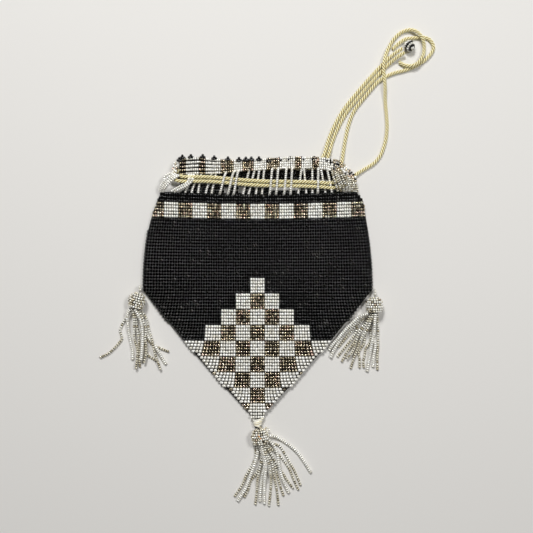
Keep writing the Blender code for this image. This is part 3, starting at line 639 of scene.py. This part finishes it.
# The front heading's edges, as (x, lower y, upper y) in millimetres, and where its checks change
HEADING_EDGES = [
    (-56, 76.0, 88.0), (-38.5, 76.6, 88.9), (-23.8, 77.0, 87.2), (-11.7, 79.0, 86.4),
    (3, 79.8, 87.1), (18.4, 80.6, 88.6), (36.5, 80.8, 88.8), (50, 79.6, 87.2),
]
HEADING_CHECKS = [-47.2, -38.5, -34.5, -24.1, -16.1, -9.7, -3.0, 6.4, 14.1, 24.3, 29.5, 35.9, 41.2, 48.9]
HEADING_ROW_STEP = 2.1  # what a row takes up where the heading lies flat, in millimetres
HEADING_STARTS = -52.0
HEADING_ENDS = 49.0
HEADING_BEAD, HEADING_BEAD_LONG = 1.85 * MM, 1.3 * MM
HEADING_THREAD_ROWS = (-0.3, 4.35)
TURN_BEAD, TURN_BEAD_LONG = 1.9 * MM, 1.4 * MM  # at the heading's two turned ends

# The black points along the heading's edge: where they stand, in millimetres, and how far they are
# folded down behind it, and each one's four beads as (place, direction)
PICOTS = [-50.0, -44.3, -36.4, -28.7, -19.6, -12.2, -7.7, -4.0, 1.0, 7.4, 14.5, 21.8, 29.4, 37.6, 45.0]
LEFT_SUNK, RIGHT_SUNK = 0.3 * MM, 2.2 * MM
RIGHT_STARTS = 4
PICOT_BEAD, PICOT_BEAD_LONG = 2.1 * MM, 1.7 * MM
PICOT_BEADS = [
    ((-1.05, -0.3, 0.9), (0.55, 0.8, 0.1)), ((0.0, 1.0, 0.9), (1.0, 0.0, 0.0)),
    ((1.05, -0.3, 0.9), (0.55, -0.8, 0.1)), ((0.0, -0.5, 0.5), (1.0, 0.0, 0.0)),
]


def heading_edges(x):
    """The heading's lower and upper edge at x, in millimetres."""
    places, low, top = zip(*HEADING_EDGES)
    return float(np.interp(x, places, low)), float(np.interp(x, places, top))


def heading_place(x, row):
    """Where a bead of the front heading sits: x in millimetres, rows counted from the casing up."""
    low, top = heading_edges(x)
    share = (row + 0.5) / HEADING_ROWS
    wave = PLEAT_HEIGHT * (1 - math.cos(math.tau * x * MM / PLEAT_PITCH))
    lean = (HEADING_ROW_STEP * HEADING_ROWS - (top - low)) * 0.5 * MM * share
    return Vector((x * MM, (low + (top - low) * share) * MM, HEADING_HEIGHT + wave + lean))


def front_heading():
    """The gathered strip of checks with its black points."""
    lots = bead_lots(21, SILVER, GUNMETAL, BLACK)
    chance = np.random.default_rng(7)
    count = int((HEADING_ENDS - HEADING_STARTS) * MM / HEADING_BEAD_STEP)
    for n in range(count):
        x = HEADING_STARTS + (n + 0.5) * HEADING_BEAD_STEP / MM
        lot = GUNMETAL if bisect.bisect(HEADING_CHECKS, x) % 2 == 0 else SILVER
        for row in range(HEADING_ROWS):
            place = heading_place(x, row)
            along = heading_place(x + 0.5, row) - heading_place(x - 0.5, row)
            place += Vector(chance.normal(0, 0.06 * MM, 3))
            lots[lot].put(place, along, HEADING_BEAD_LONG, HEADING_BEAD)
    for x in PICOTS:
        sunk = RIGHT_SUNK if x > RIGHT_STARTS else LEFT_SUNK
        picot(lots[BLACK], heading_place(x, HEADING_ROWS - 0.4) - Vector((0, 0.8 * sunk, 0.6 * sunk)))
    left_turn(lots, chance)
    right_turn(lots, chance)
    for lot, beads in lots.items():
        beads.piece(f"front_heading_{SLOTS[lot]}", "bag", ["front_heading"])
    heading_threads()


def picot(beads, foot):
    """Three beads that stand up from the edge as a small point, and one behind them."""
    for place, along in PICOT_BEADS:
        beads.put(foot + Vector(place) * MM, along, PICOT_BEAD_LONG, PICOT_BEAD)


def left_turn(lots, chance):
    """The heading's left end turns back under itself and shows its edge."""
    columns, rows = 3, 7
    for column in range(columns):
        for row in range(rows):
            below = rows - 1 - row
            x = -52.8 - 1.35 * column - (0.7 * below * 0.5)
            y = 86.6 - 1.9 * below - 0.9 * column
            lot = SILVER if (column + row) % 3 else GUNMETAL
            place = Vector((x, y, 6.8 - 0.9 * column)) * MM + Vector(chance.normal(0, 0.15 * MM, 3))
            lots[lot].put(place, (1.0, 0.35, 0.3), TURN_BEAD_LONG, TURN_BEAD)
    picot(lots[BLACK], Vector((-51.8, 86.6, 7.4)) * MM)


def right_turn(lots, chance):
    """The heading's right end bends down over the cords as a crumpled lump."""
    middle = [
        (49.5, 83.6, 8.7), (52.5, 82.0, 9.4), (55.5, 80.2, 10.0),
        (58.5, 77.6, 9.8), (61.0, 74.6, 8.8), (62.5, 71.4, 7.4),
    ]
    route = smooth_route(middle, HEADING_BEAD_STEP)
    rows_beside, row_step, rounding = 2, 1.75, 0.35
    for k, place in enumerate(route):
        ahead = (route[min(k + 1, len(route) - 1)] - route[max(k - 1, 0)]).normalized()
        side = Vector((-ahead.y, ahead.x, 0.0)).normalized()
        for row in range(-rows_beside, rows_beside + 1):
            drop = rounding * row * row * MM
            here = place + side * row * row_step * MM + Vector((0, 0, -drop))
            here += Vector(chance.normal(0, 0.2 * MM, 3))
            pick = chance.random()
            lot = SILVER if pick < 0.25 else GUNMETAL if pick < 0.7 else BLACK
            lots[lot].put(here, ahead + Vector(chance.normal(0, 0.15, 3)), TURN_BEAD_LONG, TURN_BEAD)


def heading_threads():
    """The dark thread behind the heading's beads."""
    columns = 72
    points = []
    for row in HEADING_THREAD_ROWS:
        for n in range(columns + 1):
            x = HEADING_STARTS + (HEADING_ENDS - HEADING_STARTS) * n / columns
            points.append(heading_place(x, row) - Vector((0, 0, SHEET_DEPTH)))
    corners = [(n, n + 1, n + columns + 2, n + columns + 1) for n in range(columns)]
    thread_piece("front_heading_threads", points, corners, ["front_heading"])


# Casing strands at the front, in millimetres: (x at the panel, x at the heading, over the cord or under it)
CASING = [
    (-48.1, -42.5, "under"), (-43.9, -39.8, "under"), (-39.5, -37.6, "under"), (-34.5, -30.5, "under"),
    (-30.5, -27.6, "under"), (-25.1, -20.8, "over"), (-19.8, -15.4, "over"), (-16, -12.4, "over"),
    (-9.7, -5.2, "under"), (-6, -1.6, "under"), (-1.2, 1.4, "under"), (2.9, 4.6, "under"),
    (7.9, 10, "over"), (12.2, 13.9, "over"), (17.5, 19.4, "over"), (21.8, 23.1, "over"),
    (27, 29.6, "under"), (32.5, 30.8, "under"), (36.5, 36.5, "under"), (39.9, 40.2, "over"),
    (45.2, 42, "under"), (49.6, 46.2, "under"),
]

# The bunches at the two ends: the beads' step and width, and the strands as whole routes in millimetres
LEFT_BUNCH_STEP, LEFT_BUNCH_BEAD = 1.5 * MM, 1.8 * MM
RIGHT_BUNCH_STEP, RIGHT_BUNCH_BEAD = 1.45 * MM, 1.65 * MM
LEFT_BUNCH = [
    [(-64.6, 65.6, 4.6), (-62.5, 69, 8.5), (-58, 73.5, 11), (-53, 76.6, 9)],
    [(-63.2, 65.5, 4.9), (-61, 68.4, 8.8), (-56.8, 72.6, 11.2), (-51.8, 76.4, 9.2)],
    [(-65.6, 66, 4.4), (-63.8, 70, 8), (-59.4, 74.4, 10.6), (-54.2, 77.4, 8.4)],
    [(-62.4, 71.9, 7.2), (-62.2, 74.6, 7.4), (-60.2, 77, 7.6), (-57, 77.6, 7.8), (-54.6, 77.2, 7.6)],
    [(-57.6, 65.8, 5.8), (-52.5, 68.3, 9.4), (-47.5, 70.6, 10.9), (-44.8, 73.4, 10.8), (-43.8, 77, 8.6)],
    [(-55.6, 65.5, 6), (-51.2, 67.2, 9.6), (-46.4, 69.4, 10.9), (-43.2, 72.6, 10.8), (-42.2, 77, 8.6)],
    [(-52.4, 65.6, 6.3), (-48.2, 68.4, 9.8), (-45.8, 72, 11), (-45.6, 77.2, 8.6)],
]
RIGHT_BUNCH = [
    [(53.6, 65.8, 6.6), (52.2, 69.5, 9.4), (50.6, 74, 10.6), (49.4, 79.4, 8.6)],
    [(55.6, 65.8, 6.4), (54.6, 69.2, 9.6), (52.6, 74.2, 10.9), (51.4, 79, 8.8)],
    [(57.6, 65.9, 6.2), (56.8, 69, 9.4), (54.4, 73.6, 11), (53, 78.6, 9.6)],
    [(59.4, 66, 5.9), (59.2, 69, 9), (56.8, 73, 10.8), (54.8, 78, 10)],
    [(61.2, 66, 5.6), (61.2, 68.8, 8.6), (59.2, 72.4, 10.4), (56.8, 77.2, 10.2)],
    [(62.8, 65.9, 5.2), (62.8, 68.6, 8), (61.4, 71.8, 9.8), (58.8, 76.2, 10)],
    [(64.2, 65.8, 4.9), (64.4, 68.4, 7.2), (63.4, 71.4, 8.8), (60.6, 75.2, 9.4)],
    [(65.6, 65.6, 4.5), (65.8, 68, 6.4), (64.8, 70.8, 7.8), (62.4, 73.8, 8.6)],
    [(66.8, 65.4, 4.2), (66.8, 67.4, 5.4), (65.8, 69.6, 6.6), (63.4, 72, 7.6)],
]


class Threads:
    """The threads through a group of strands, made into one piece at the end."""

    def __init__(self):
        self.places = []
        self.corners = []

    def run(self, route):
        """Adds the thread along a strand's route."""
        places, corners = sweep(route[::2] + route[-1:], round_section(STRUNG_THREAD_RADIUS, 6))
        self.corners.append(corners + sum(len(p) for p in self.places))
        self.places.append(places)

    def piece(self, name, body, nodes):
        """Makes the piece."""
        mesh = quads(name, np.concatenate(self.places), np.concatenate(self.corners))
        mesh.shade_smooth()
        finish_piece(name, mesh, DARK_THREAD, body, nodes)


def string_beads(beads, threads, route_points, long, across):
    """Beads threaded one after another along a route, on their thread."""
    route = smooth_route(route_points, long)
    share = CLOSE_STRUNG if beads.finish is SILVER else LOOSE_STRUNG
    for a, b in zip(route, route[1:]):
        beads.put((a + b) / 2, (b - a).normalized(), long * share, across)
    threads.run(route)


def casing():
    """The open strands that hold the drawstring."""
    threads = Threads()
    front = Beads(SILVER, 8, 31)
    for low_x, top_x, lane in CASING:
        over = lane == "over"
        middle = (OVER_HEIGHT if over else UNDER_HEIGHT) / MM
        start = pillow(low_x * MM, MOUTH_Y) / MM
        low_y = MOUTH_Y / MM + sag(low_x * MM, MOUTH_Y) / MM
        top_y = heading_edges(top_x)[0]
        top = heading_place(top_x, 0).z / MM
        bend = low_y + (1.8 if over else 3.3)
        string_beads(front, threads, [
            (low_x, low_y, start), (low_x + (top_x - low_x) * 0.2, bend, middle),
            (low_x + (top_x - low_x) * 0.75, top_y - 2.6, middle), (top_x, top_y + 1.0, top - 0.4),
        ], CASING_BEAD_LONG, CASING_BEAD)
    front.piece("front_casing_strands", "bag", ["front_heading"])
    left, right = Beads(SILVER, 8, 32), Beads(MIXED, 8, 33)
    for route in LEFT_BUNCH:
        string_beads(left, threads, route, LEFT_BUNCH_STEP, LEFT_BUNCH_BEAD)
    for route in RIGHT_BUNCH:
        string_beads(right, threads, route, RIGHT_BUNCH_STEP, RIGHT_BUNCH_BEAD)
    left.piece("casing_left_strands", "bag", ["front_heading"])
    right.piece("casing_right_strands", "bag", ["front_heading"])
    threads.piece("casing_threads", "bag", ["front_heading"])


# The back's heading and casing, in millimetres
BACK_COLUMNS = 70
BACK_STARTS, BACK_COLUMN_STEP = -52.0, 1.48
BACK_FOOT, BACK_ROW_STEP = 77.2, 2.0
BACK_BEAD, BACK_BEAD_LONG = 2.05 * MM, 1.45 * MM
BACK_PICOTS = 14
BACK_PICOTS_START, BACK_PICOT_STEP, BACK_PICOT_Y, BACK_PICOT_Z = -50.0, 7.6, 85.6, 0.75
BACK_STRANDS = 23
BACK_LOW_REACH = 61.4
BACK_TOP_START, BACK_TOP_WIDTH = -53.0, 102.0


def back_heading():
    """The back's heading and casing, flat on the table."""
    lots = bead_lots(41, SILVER, GUNMETAL, BLACK)
    # The back's casing strands take black beads as painted shade: they lie under the front, where they show
    # dark
    strands = Beads(BLACK, 8, 44)
    threads = Threads()
    for n in range(BACK_COLUMNS):
        x = BACK_STARTS + BACK_COLUMN_STEP * n
        check = SILVER if (n // CHECK_BEADS) % 2 else GUNMETAL
        for row in range(-1, HEADING_ROWS):
            lot = check if row > 1 else BLACK
            place = (x * MM, (BACK_FOOT + BACK_ROW_STEP * row) * MM, BACK_HEIGHT)
            lots[lot].put(place, (1.0, 0.0, 0.0), BACK_BEAD_LONG, BACK_BEAD)
    for n in range(BACK_PICOTS):
        picot(lots[BLACK], Vector((BACK_PICOTS_START + BACK_PICOT_STEP * n, BACK_PICOT_Y, BACK_PICOT_Z)) * MM)
    for n in range(BACK_STRANDS):
        share = n / (BACK_STRANDS - 1)
        low_x = (2 * share - 1) * BACK_LOW_REACH
        top_x = BACK_TOP_START + BACK_TOP_WIDTH * share
        ends = [(low_x, 74.6, 1.0), (top_x, 77.0, 1.0)]
        string_beads(strands, threads, ends, CASING_BEAD_LONG, CASING_BEAD)
    for lot, beads in lots.items():
        beads.piece(f"back_heading_{SLOTS[lot]}", "bag", ["back_heading"])
    strands.piece("back_casing_strands", "bag", ["back_heading"])
    threads.piece("back_casing_threads", "bag", ["back_heading"])


NETTED_SHARE = 0.86  # how much of its step a bead in a net takes up


def axis_frame(direction):
    """An axis and two directions square to it."""
    axis = Vector(direction).normalized()
    side = axis.orthogonal().normalized()
    return axis, side, axis.cross(side)


def turned_beads(lots, pick, base, direction, profile, long, across):
    """Rings of beads round an axis: profile is (how far along, radius) for each ring."""
    axis, side, other = axis_frame(direction)
    base = Vector(base)
    for ring, (far, radius) in enumerate(profile):
        count = max(4, int(math.tau * radius / long))
        for n in range(count):
            turn = math.tau * (n + 0.5 * (ring % 2)) / count
            out = math.cos(turn) * side + math.sin(turn) * other
            ahead = -math.sin(turn) * side + math.cos(turn) * other
            lots[pick(ring)].put(base + axis * far + out * radius, ahead, NETTED_SHARE * long, across)


def core(name, base, direction, profile, body, nodes):
    """The dark filling under turned beads."""
    axis, side, other = axis_frame(direction)
    sides = 16
    points = []
    for far, radius in profile:
        for n in range(sides):
            turn = math.tau * n / sides
            out = math.cos(turn) * side + math.sin(turn) * other
            points.append(Vector(base) + axis * far + radius * out)
    mesh = quads(name, np.array(points), tube_faces(len(profile), sides))
    mesh.shade_smooth()
    finish_piece(name, mesh, DARK_THREAD, body, nodes)


# Each tassel's strands, in millimetres on the table, laid in this order, as in the solids
LEFT_STRANDS = [
    [(-1.5, -1), (0, -11), (2, -17), (4.5, -19.5), (7.5, -21.5), (11.5, -25.5), (22, -30)],
    [(1, -1.5), (4, -16), (5.5, -26.5), (7.5, -32), (10.5, -34), (13.5, -36)],
    [(-4, -1), (-7.5, -8), (-11, -15.5), (-9.5, -20.5), (-12, -24.5), (-18, -30.5), (-24.5, -34)],
    [(-0.5, -1), (0.5, -11), (1.5, -19), (2, -24.5), (2, -31.5), (2.5, -40.5)],
    [(3.3, -2.3), (5, -11), (8.5, -20), (12, -24.5), (14.5, -28.5), (20, -38.5)],
    [(-2, -1), (-1, -7), (-1, -15.5), (-1, -21), (0.5, -26.5), (1, -31.5), (0, -41.5)],
    [(4, -2.4), (7, -7), (8.5, -14), (10.5, -19.5), (11.5, -23.5), (12.5, -29.5), (16.5, -42)],
    [(2.3, -2), (5, -8), (7, -14.5), (6.5, -21), (7, -25.5), (7, -30.5), (5.5, -37.5)],
    [(-3.5, -1), (-5.5, -5), (-5.5, -11), (-5, -17.5), (-3.5, -24.5), (-2.5, -30.5), (-2.5, -35.5)],
    [(0, -1), (2.5, -5.5), (4.5, -10.5), (5, -16), (5, -21), (4.5, -27.5), (3.5, -35.5)],
]
RIGHT_STRANDS = [
    [(-4.6, -0.9), (-7.3, -5.4), (-10.3, -8.9), (-11.8, -13.9),
     (-15.3, -19.4), (-19.8, -24.9), (-24.3, -30.4)],
    [(-2.1, -0.9), (-5.8, -7.9), (-9.3, -12.4), (-11.8, -18.4),
     (-14.8, -22.9), (-18.3, -27.9), (-21.3, -33.9)],
    [(0.4, -0.9), (-1.8, -8.4), (-1.8, -17.4), (-2.8, -21.4),
     (-5.3, -24.9), (-5.8, -28.9), (-6.8, -33.4), (-6.3, -37.9)],
    [(2.9, -0.9), (2.7, -6.4), (3.2, -11.4), (3.2, -17.4), (3.2, -23.4), (2.7, -29.9), (2.7, -39.4)],
    [(-3.4, -0.9), (-9.3, -5.4), (-12.8, -10.4), (-16.8, -15.4), (-20.3, -19.9), (-23.8, -23.9)],
    [(-0.9, -0.9), (-3.3, -8.4), (-4.3, -12.9), (-5.8, -17.4),
     (-6.3, -21.4), (-9.8, -26.9), (-9.3, -31.9), (-9.3, -37.9)],
    [(1.6, -0.9), (0.7, -8.4), (0.7, -17.9), (1.2, -23.4), (0.2, -29.9), (-0.3, -37.4)],
    [(-4.6, -0.9), (-9.3, -4.4), (-12.8, -7.9), (-16.8, -11.9),
     (-20.3, -15.9), (-23.3, -20.4), (-26.8, -25.9), (-28.8, -30.9)],
    [(-2.1, -0.9), (-5.3, -8.4), (-7.8, -11.9), (-10.3, -14.9),
     (-11.8, -19.4), (-13.3, -23.9), (-14.8, -27.9), (-18.3, -31.4)],
    [(-0.9, -0.9), (-4.3, -10.4), (-7.3, -15.4), (-9.3, -19.9),
     (-10.8, -24.9), (-12.8, -29.9), (-14.3, -34.9), (-15.3, -38.4)],
    [(-4.2, -0.9), (-9.8, -2.9), (-13.8, -6.4), (-17.8, -10.4),
     (-21.3, -14.4), (-24.8, -18.9), (-28.3, -22.9), (-29.8, -25.9)],
    [(0.4, -0.9), (0.2, -6.4), (0.2, -12.9), (-0.8, -17.9), (-1.8, -23.9), (-2.8, -30.9), (-4.3, -40.4)],
]
TIP_STRANDS = [
    [(-3.5, -1), (-3.5, -10), (-5.5, -15), (-9.5, -22), (-12.5, -29), (-17.5, -36.5)],
    [(-1, -1), (0.5, -10), (-2, -19.5), (-6.5, -25.5), (-8.5, -32), (-11, -37)],
    [(1.5, -1), (6, -7), (9, -12.5), (11, -21), (13, -28.5), (15.5, -36)],
    [(4, -1), (6, -3.5), (11, -7), (15.5, -12), (19.5, -18), (21.5, -23), (25.5, -32)],
    [(6.5, -0.1), (9.5, -1), (13, -2.5), (16.5, -8), (19.5, -13.5), (23, -19.5), (27, -29)],
    [(-2.2, -1), (-2, -7), (-4, -14), (-7, -22.5), (-10, -30.5), (-15.5, -39.5)],
    [(0.3, -1), (1, -11), (-0.5, -16.5), (-2, -24.5), (-2.5, -33), (-3.5, -42)],
    [(2.8, -1), (6.5, -6), (9.5, -12), (14, -19), (18, -25.5), (22, -31)],
    [(-1, -1), (2, -9.5), (2.5, -16), (1, -23), (0, -32), (-0.5, -40)],
    [(1.5, -1), (4.5, -7.5), (7.5, -13), (8.5, -18.5), (9.5, -24.5), (11, -32.5), (12, -42.5)],
    [(0.3, -1), (3, -9.5), (3.5, -14.5), (3, -21), (2.5, -29.5), (2.5, -41.5)],
    [(2.8, -1), (3.5, -6.5), (5.5, -12), (6.5, -18.5), (7, -25.5), (6.5, -35), (5.5, -43)],
    [(4.5, 2.9), (6.9, 0.6), (9.3, -2.4), (10.9, -6), (11.8, -10), (13, -17.5), (15, -24.5), (19, -34)],
    [(4.6, 4.9), (8, 4.7), (12, 3), (19.5, -2), (25, -7), (29, -12.5), (34, -20.5)],
]


def pile_up(routes):
    """Lays flat routes one by one, each resting on those that are under it."""
    laid = []
    stacked = []
    for points in routes:
        flat = smooth_route([(x, y, 0.0) for x, y in points], STRAND_APART / 2)
        rest = []
        for place in flat:
            height = TABLE_CLEARANCE
            for other in laid:
                away = math.hypot(place.x - other.x, place.y - other.y)
                if away < STRAND_APART:
                    height = max(height, other.z + math.sqrt(STRAND_APART**2 - away**2))
            rest.append(height)
        reach = 4
        raised = [max(rest[max(0, k - reach):k + reach + 1]) for k in range(len(rest))]
        eased = []
        for k in range(len(raised)):
            near = raised[max(0, k - reach):k + reach + 1]
            eased.append(sum(near) / len(near))
        route = [Vector((p.x, p.y, z)) for p, z in zip(flat, eased)]
        laid += route
        stacked.append(route)
    return stacked


# The cap's rings of beads, as (how far along, radius) in millimetres
HEAD_RINGS = [(0.7, 2.4), (1.8, 4.1), (3.3, 5.0), (4.9, 5.3), (6.5, 5.3), (8.1, 5.0), (9.5, 4.5)]
HEAD_RAISED = 0.5 * MM
HEAD_BEAD, HEAD_BEAD_LONG = 1.55 * MM, 1.65 * MM
HEAD_FILLING_DEPTH = 0.3 * MM  # how far the filling lies under the beads' middle


def tassel(side, crown, direction, strands, bright):
    """A netted cap of mixed beads with its strands; the bright ones, by number, are of larger white beads."""
    body = f"{side}_tassel"
    lots = bead_lots(51, SILVER, GUNMETAL, MIXED)
    chance = np.random.default_rng(len(strands))

    def pick(_):
        choice = chance.random()
        return SILVER if choice < 0.3 else GUNMETAL if choice < 0.5 else MIXED

    rings = [(far * MM, radius * MM) for far, radius in HEAD_RINGS]
    crown = Vector(crown) + Vector((0.0, 0.0, HEAD_RAISED))
    turned_beads(lots, pick, crown, direction, rings, HEAD_BEAD_LONG, HEAD_BEAD)
    for lot, beads in lots.items():
        beads.piece(f"{body}_cap_{lot.name}", body, [f"{body}_cap"])
    filling = [(0.0, 0.0), *[(far, radius - HEAD_FILLING_DEPTH) for far, radius in rings], (HEAD_LENGTH, 0.0)]
    core(f"{body}_cap_core", crown, direction, filling, body, [f"{body}_cap"])
    mouth = Vector(crown) + HEAD_LENGTH * Vector(direction).normalized()
    placed = [[(x + mouth.x / MM, y + mouth.y / MM) for x, y in route] for route in strands]
    threads = Threads()
    for n, route in enumerate(pile_up(placed)):
        finish = SILVER if n + 1 in bright else MIXED
        beads = Beads(finish, 8, 60 + n)
        points = [tuple(p / MM) for p in route]
        step, across = (BRIGHT_STEP, BRIGHT_BEAD) if finish is SILVER else (PLAIN_STEP, PLAIN_BEAD)
        string_beads(beads, threads, points, step, across)
        beads.piece(f"{body}_beads_{n + 1:02d}", body, [f"{body}_strand_{n + 1:02d}"])
    threads.piece(f"{body}_threads", body, [f"{body}_strand_{n + 1:02d}" for n in range(len(strands))])


LOOP_BEAD, LOOP_BEAD_LONG = 1.8 * MM, 1.4 * MM
LOOP_RADIUS = 1.95 * MM
LOOP_COUNT = 7


def small_ring(side, centre):
    """The loop of beads that a side tassel hangs by."""
    beads = Beads(SILVER, 8, 71)
    for n in range(LOOP_COUNT):
        turn = math.tau * (n + 0.25) / LOOP_COUNT
        place = Vector(centre) + LOOP_RADIUS * Vector((0.0, math.cos(turn), math.sin(turn)))
        beads.put(place, (0.0, -math.sin(turn), math.cos(turn)), LOOP_BEAD_LONG, LOOP_BEAD)
    beads.piece(f"{side}_tassel_loop", f"{side}_tassel", [f"{side}_tassel_ring"])


def thread_wrap():
    """Pale thread wound unevenly round the tip of the bag, over a core: wide at the top, then pinched."""
    length, radius, thread = 5.8 * MM, 2.0 * MM, 1.0 * MM
    turns, steps_a_turn = 9, 20
    steps = turns * steps_a_turn
    chance = np.random.default_rng(9)
    tilts = chance.uniform(-1.1 * MM, 1.1 * MM, turns + 1)
    widths = chance.uniform(0.88, 1.2, turns + 1)
    path = []
    for k in range(steps + 1):
        turn = math.tau * k / steps_a_turn
        share = k / steps
        wind = k / steps_a_turn
        tilt = float(np.interp(wind, range(turns + 1), tilts))
        wide = float(np.interp(wind, range(turns + 1), widths))
        flare = 1 + 0.75 * max(0.0, 1 - share / 0.45)
        y = TIP_Y - 0.1 * MM - thread / 2 - (length - thread) * share + tilt * math.cos(turn)
        path.append(Vector((
            0.2 * MM + radius * wide * flare * math.cos(turn), y, 3.0 * MM + radius * wide * math.sin(turn),
        )))
    section = round_section(thread / 2, 8)
    places, corners = sweep(path, section)
    mesh = quads("tip_wrap_thread", places, corners)
    mesh.shade_smooth()
    painted_light_and_tone = mesh.attributes.new("painted_light_and_tone", "FLOAT", "POINT")
    # every few steps along the thread take a tone by chance, from tan to pale
    patch = 7
    marks = np.arange(0, len(path) + patch, patch)
    shades = np.interp(np.arange(len(path)), marks, chance.uniform(0.25, 1.6, len(marks)).clip(0, 1))
    painted_light_and_tone.data.foreach_set("value", np.repeat(shades, len(section)).astype(np.float32))
    finish_piece("tip_wrap_thread", mesh, PALE, "bag", ["tip_thread_wrap"])
    edge = 0.2 * MM
    profile = [(0.0, 0.0), (edge, radius), (length - edge, radius), (length, 0.0)]
    core("tip_wrap_core", (0.0, TIP_Y - 0.3 * MM, 2.6 * MM), (0, -1, 0), profile, "bag", ["tip_thread_wrap"])


def tip_details():
    """A mending stitch over the tip's cap, and a small loop of beads beside it."""
    stitch = smooth_route([(0.3, -95.4, 10.9), (1.6, -97.3, 11.7), (3.1, -99.4, 10.9)], 0.4 * MM)
    places, corners = sweep(stitch, round_section(0.4 * MM, 8))
    mesh = quads("tip_mending_stitch", places, corners)
    mesh.shade_smooth()
    finish_piece("tip_mending_stitch", mesh, ORANGE, "tip_tassel", ["tip_tassel_cap"])
    loop = Beads(MIXED, 8, 91)
    for n in range(LOOP_COUNT):
        turn = math.tau * n / LOOP_COUNT
        place = Vector((6.0, -93.4, 5.2)) * MM + 1.5 * MM * Vector((math.cos(turn), math.sin(turn), 0.0))
        loop.put(place, (-math.sin(turn), math.cos(turn), 0.2), 1.25 * MM, 1.4 * MM)
    loop.piece("tip_tassel_loop_beads", "tip_tassel", ["tip_tassel_cap"])


def ball():
    """The beaded ball: rows of white and black beads round it."""
    lots = bead_lots(81, SILVER, BLACK)
    centre = Vector((101.5, 163.3, 4.1)) * MM
    direction = Vector((0.62, -0.62, 0.48))
    base = centre - KNOB_RADIUS * direction.normalized()
    radius = KNOB_RADIUS - 0.85 * MM
    lot_rows = (SILVER, SILVER, SILVER, BLACK, SILVER, BLACK, SILVER)
    profile = []
    for k in range(len(lot_rows)):
        turn = math.pi * (k + 0.5) / len(lot_rows)
        profile.append((KNOB_RADIUS - radius * math.cos(turn), radius * math.sin(turn)))
    turned_beads(lots, lot_rows.__getitem__, base, direction, profile, 1.4 * MM, 1.5 * MM)
    for lot, beads in lots.items():
        beads.piece(f"ball_{SLOTS[lot]}", "bag", ["drawstring_ball"])
    end = 0.8 * MM
    filling = [(end, 0.0), *[(far, r - 0.2 * MM) for far, r in profile], (2 * KNOB_RADIUS - end, 0.0)]
    core("ball_core", base, direction, filling, "bag", ["drawstring_ball"])


# The lamps: name, place, size and power, in metres and watts
LAMPS = [("window", (-0.2, 0.8, 1.15), 0.3, 13.6), ("lamp", (0.5, 0.3, 1.2), 0.25, 5.8)]
TABLE_REACH = 3


def room():
    """A plain pale table, two soft lamps above it and an even pale room."""
    far = TABLE_REACH
    places = np.array([(-far, -far, 0), (far, -far, 0), (far, far, 0), (-far, far, 0)])
    mesh = quads("table", places, np.array([(0, 1, 2, 3)]))
    table = bpy.data.objects.new("table", mesh)
    bpy.context.scene.collection.objects.link(table)
    made, tree, shader = start_material("pale_table")
    shader.inputs["Base Color"].default_value = linear("#e4e2de")
    shader.inputs["Roughness"].default_value = 0.8
    mesh.materials.append(made)
    world = bpy.data.worlds.new("room")
    bpy.context.scene.world = world
    world.use_nodes = True
    tree = world.node_tree
    up = add(tree, "ShaderNodeSeparateXYZ", {0: add(tree, "ShaderNodeTexCoord").outputs["Generated"]})
    height = add(tree, "ShaderNodeMapRange", {"Value": up.outputs["Z"]})
    walls = ramp(tree, height.outputs["Result"], [(0.1, "#f4f3f1"), (0.75, "#5c5b59")])
    background = tree.nodes["Background"]
    tree.links.new(walls, background.inputs["Color"])
    background.inputs["Strength"].default_value = 0.3
    for name, place, size, power in LAMPS:
        light = bpy.data.lights.new(name, "AREA")
        light.size = size
        light.energy = power
        lamp = bpy.data.objects.new(name, light)
        lamp.location = place
        lamp.rotation_mode = "QUATERNION"
        lamp.rotation_quaternion = Vector(place).to_track_quat("Z", "Y")
        bpy.context.scene.collection.objects.link(lamp)
    bpy.context.scene.view_settings.view_transform = "Standard"


camera()
cord_one, route_one = twisted_cord("cord_one", CORD_ONE, "drawstring_one")
cord_two, route_two = twisted_cord("cord_two", CORD_TWO, "drawstring_two")
room()
panel(True)
panel(False)
front_heading()
casing()
back_heading()
tassel("left", (-78.85 * MM, -1.9 * MM, HEAD_RADIUS), (-0.28, -1.0, 0.0), LEFT_STRANDS, (5, 9, 10))
tassel("right", (77.85 * MM, -4.6 * MM, HEAD_RADIUS), (0.0, -1.0, 0.0), RIGHT_STRANDS, (7, 8, 11, 12))
tassel("tip", (1.0 * MM, -92.5 * MM, HEAD_RADIUS), (0.1, -1.0, 0.0), TIP_STRANDS, (6, 9, 11, 13, 14))
small_ring("left", (-78.3 * MM, 1.05 * MM, HEAD_RADIUS))
small_ring("right", (78.3 * MM, -1.65 * MM, HEAD_RADIUS))
thread_wrap()
tip_details()
ball()
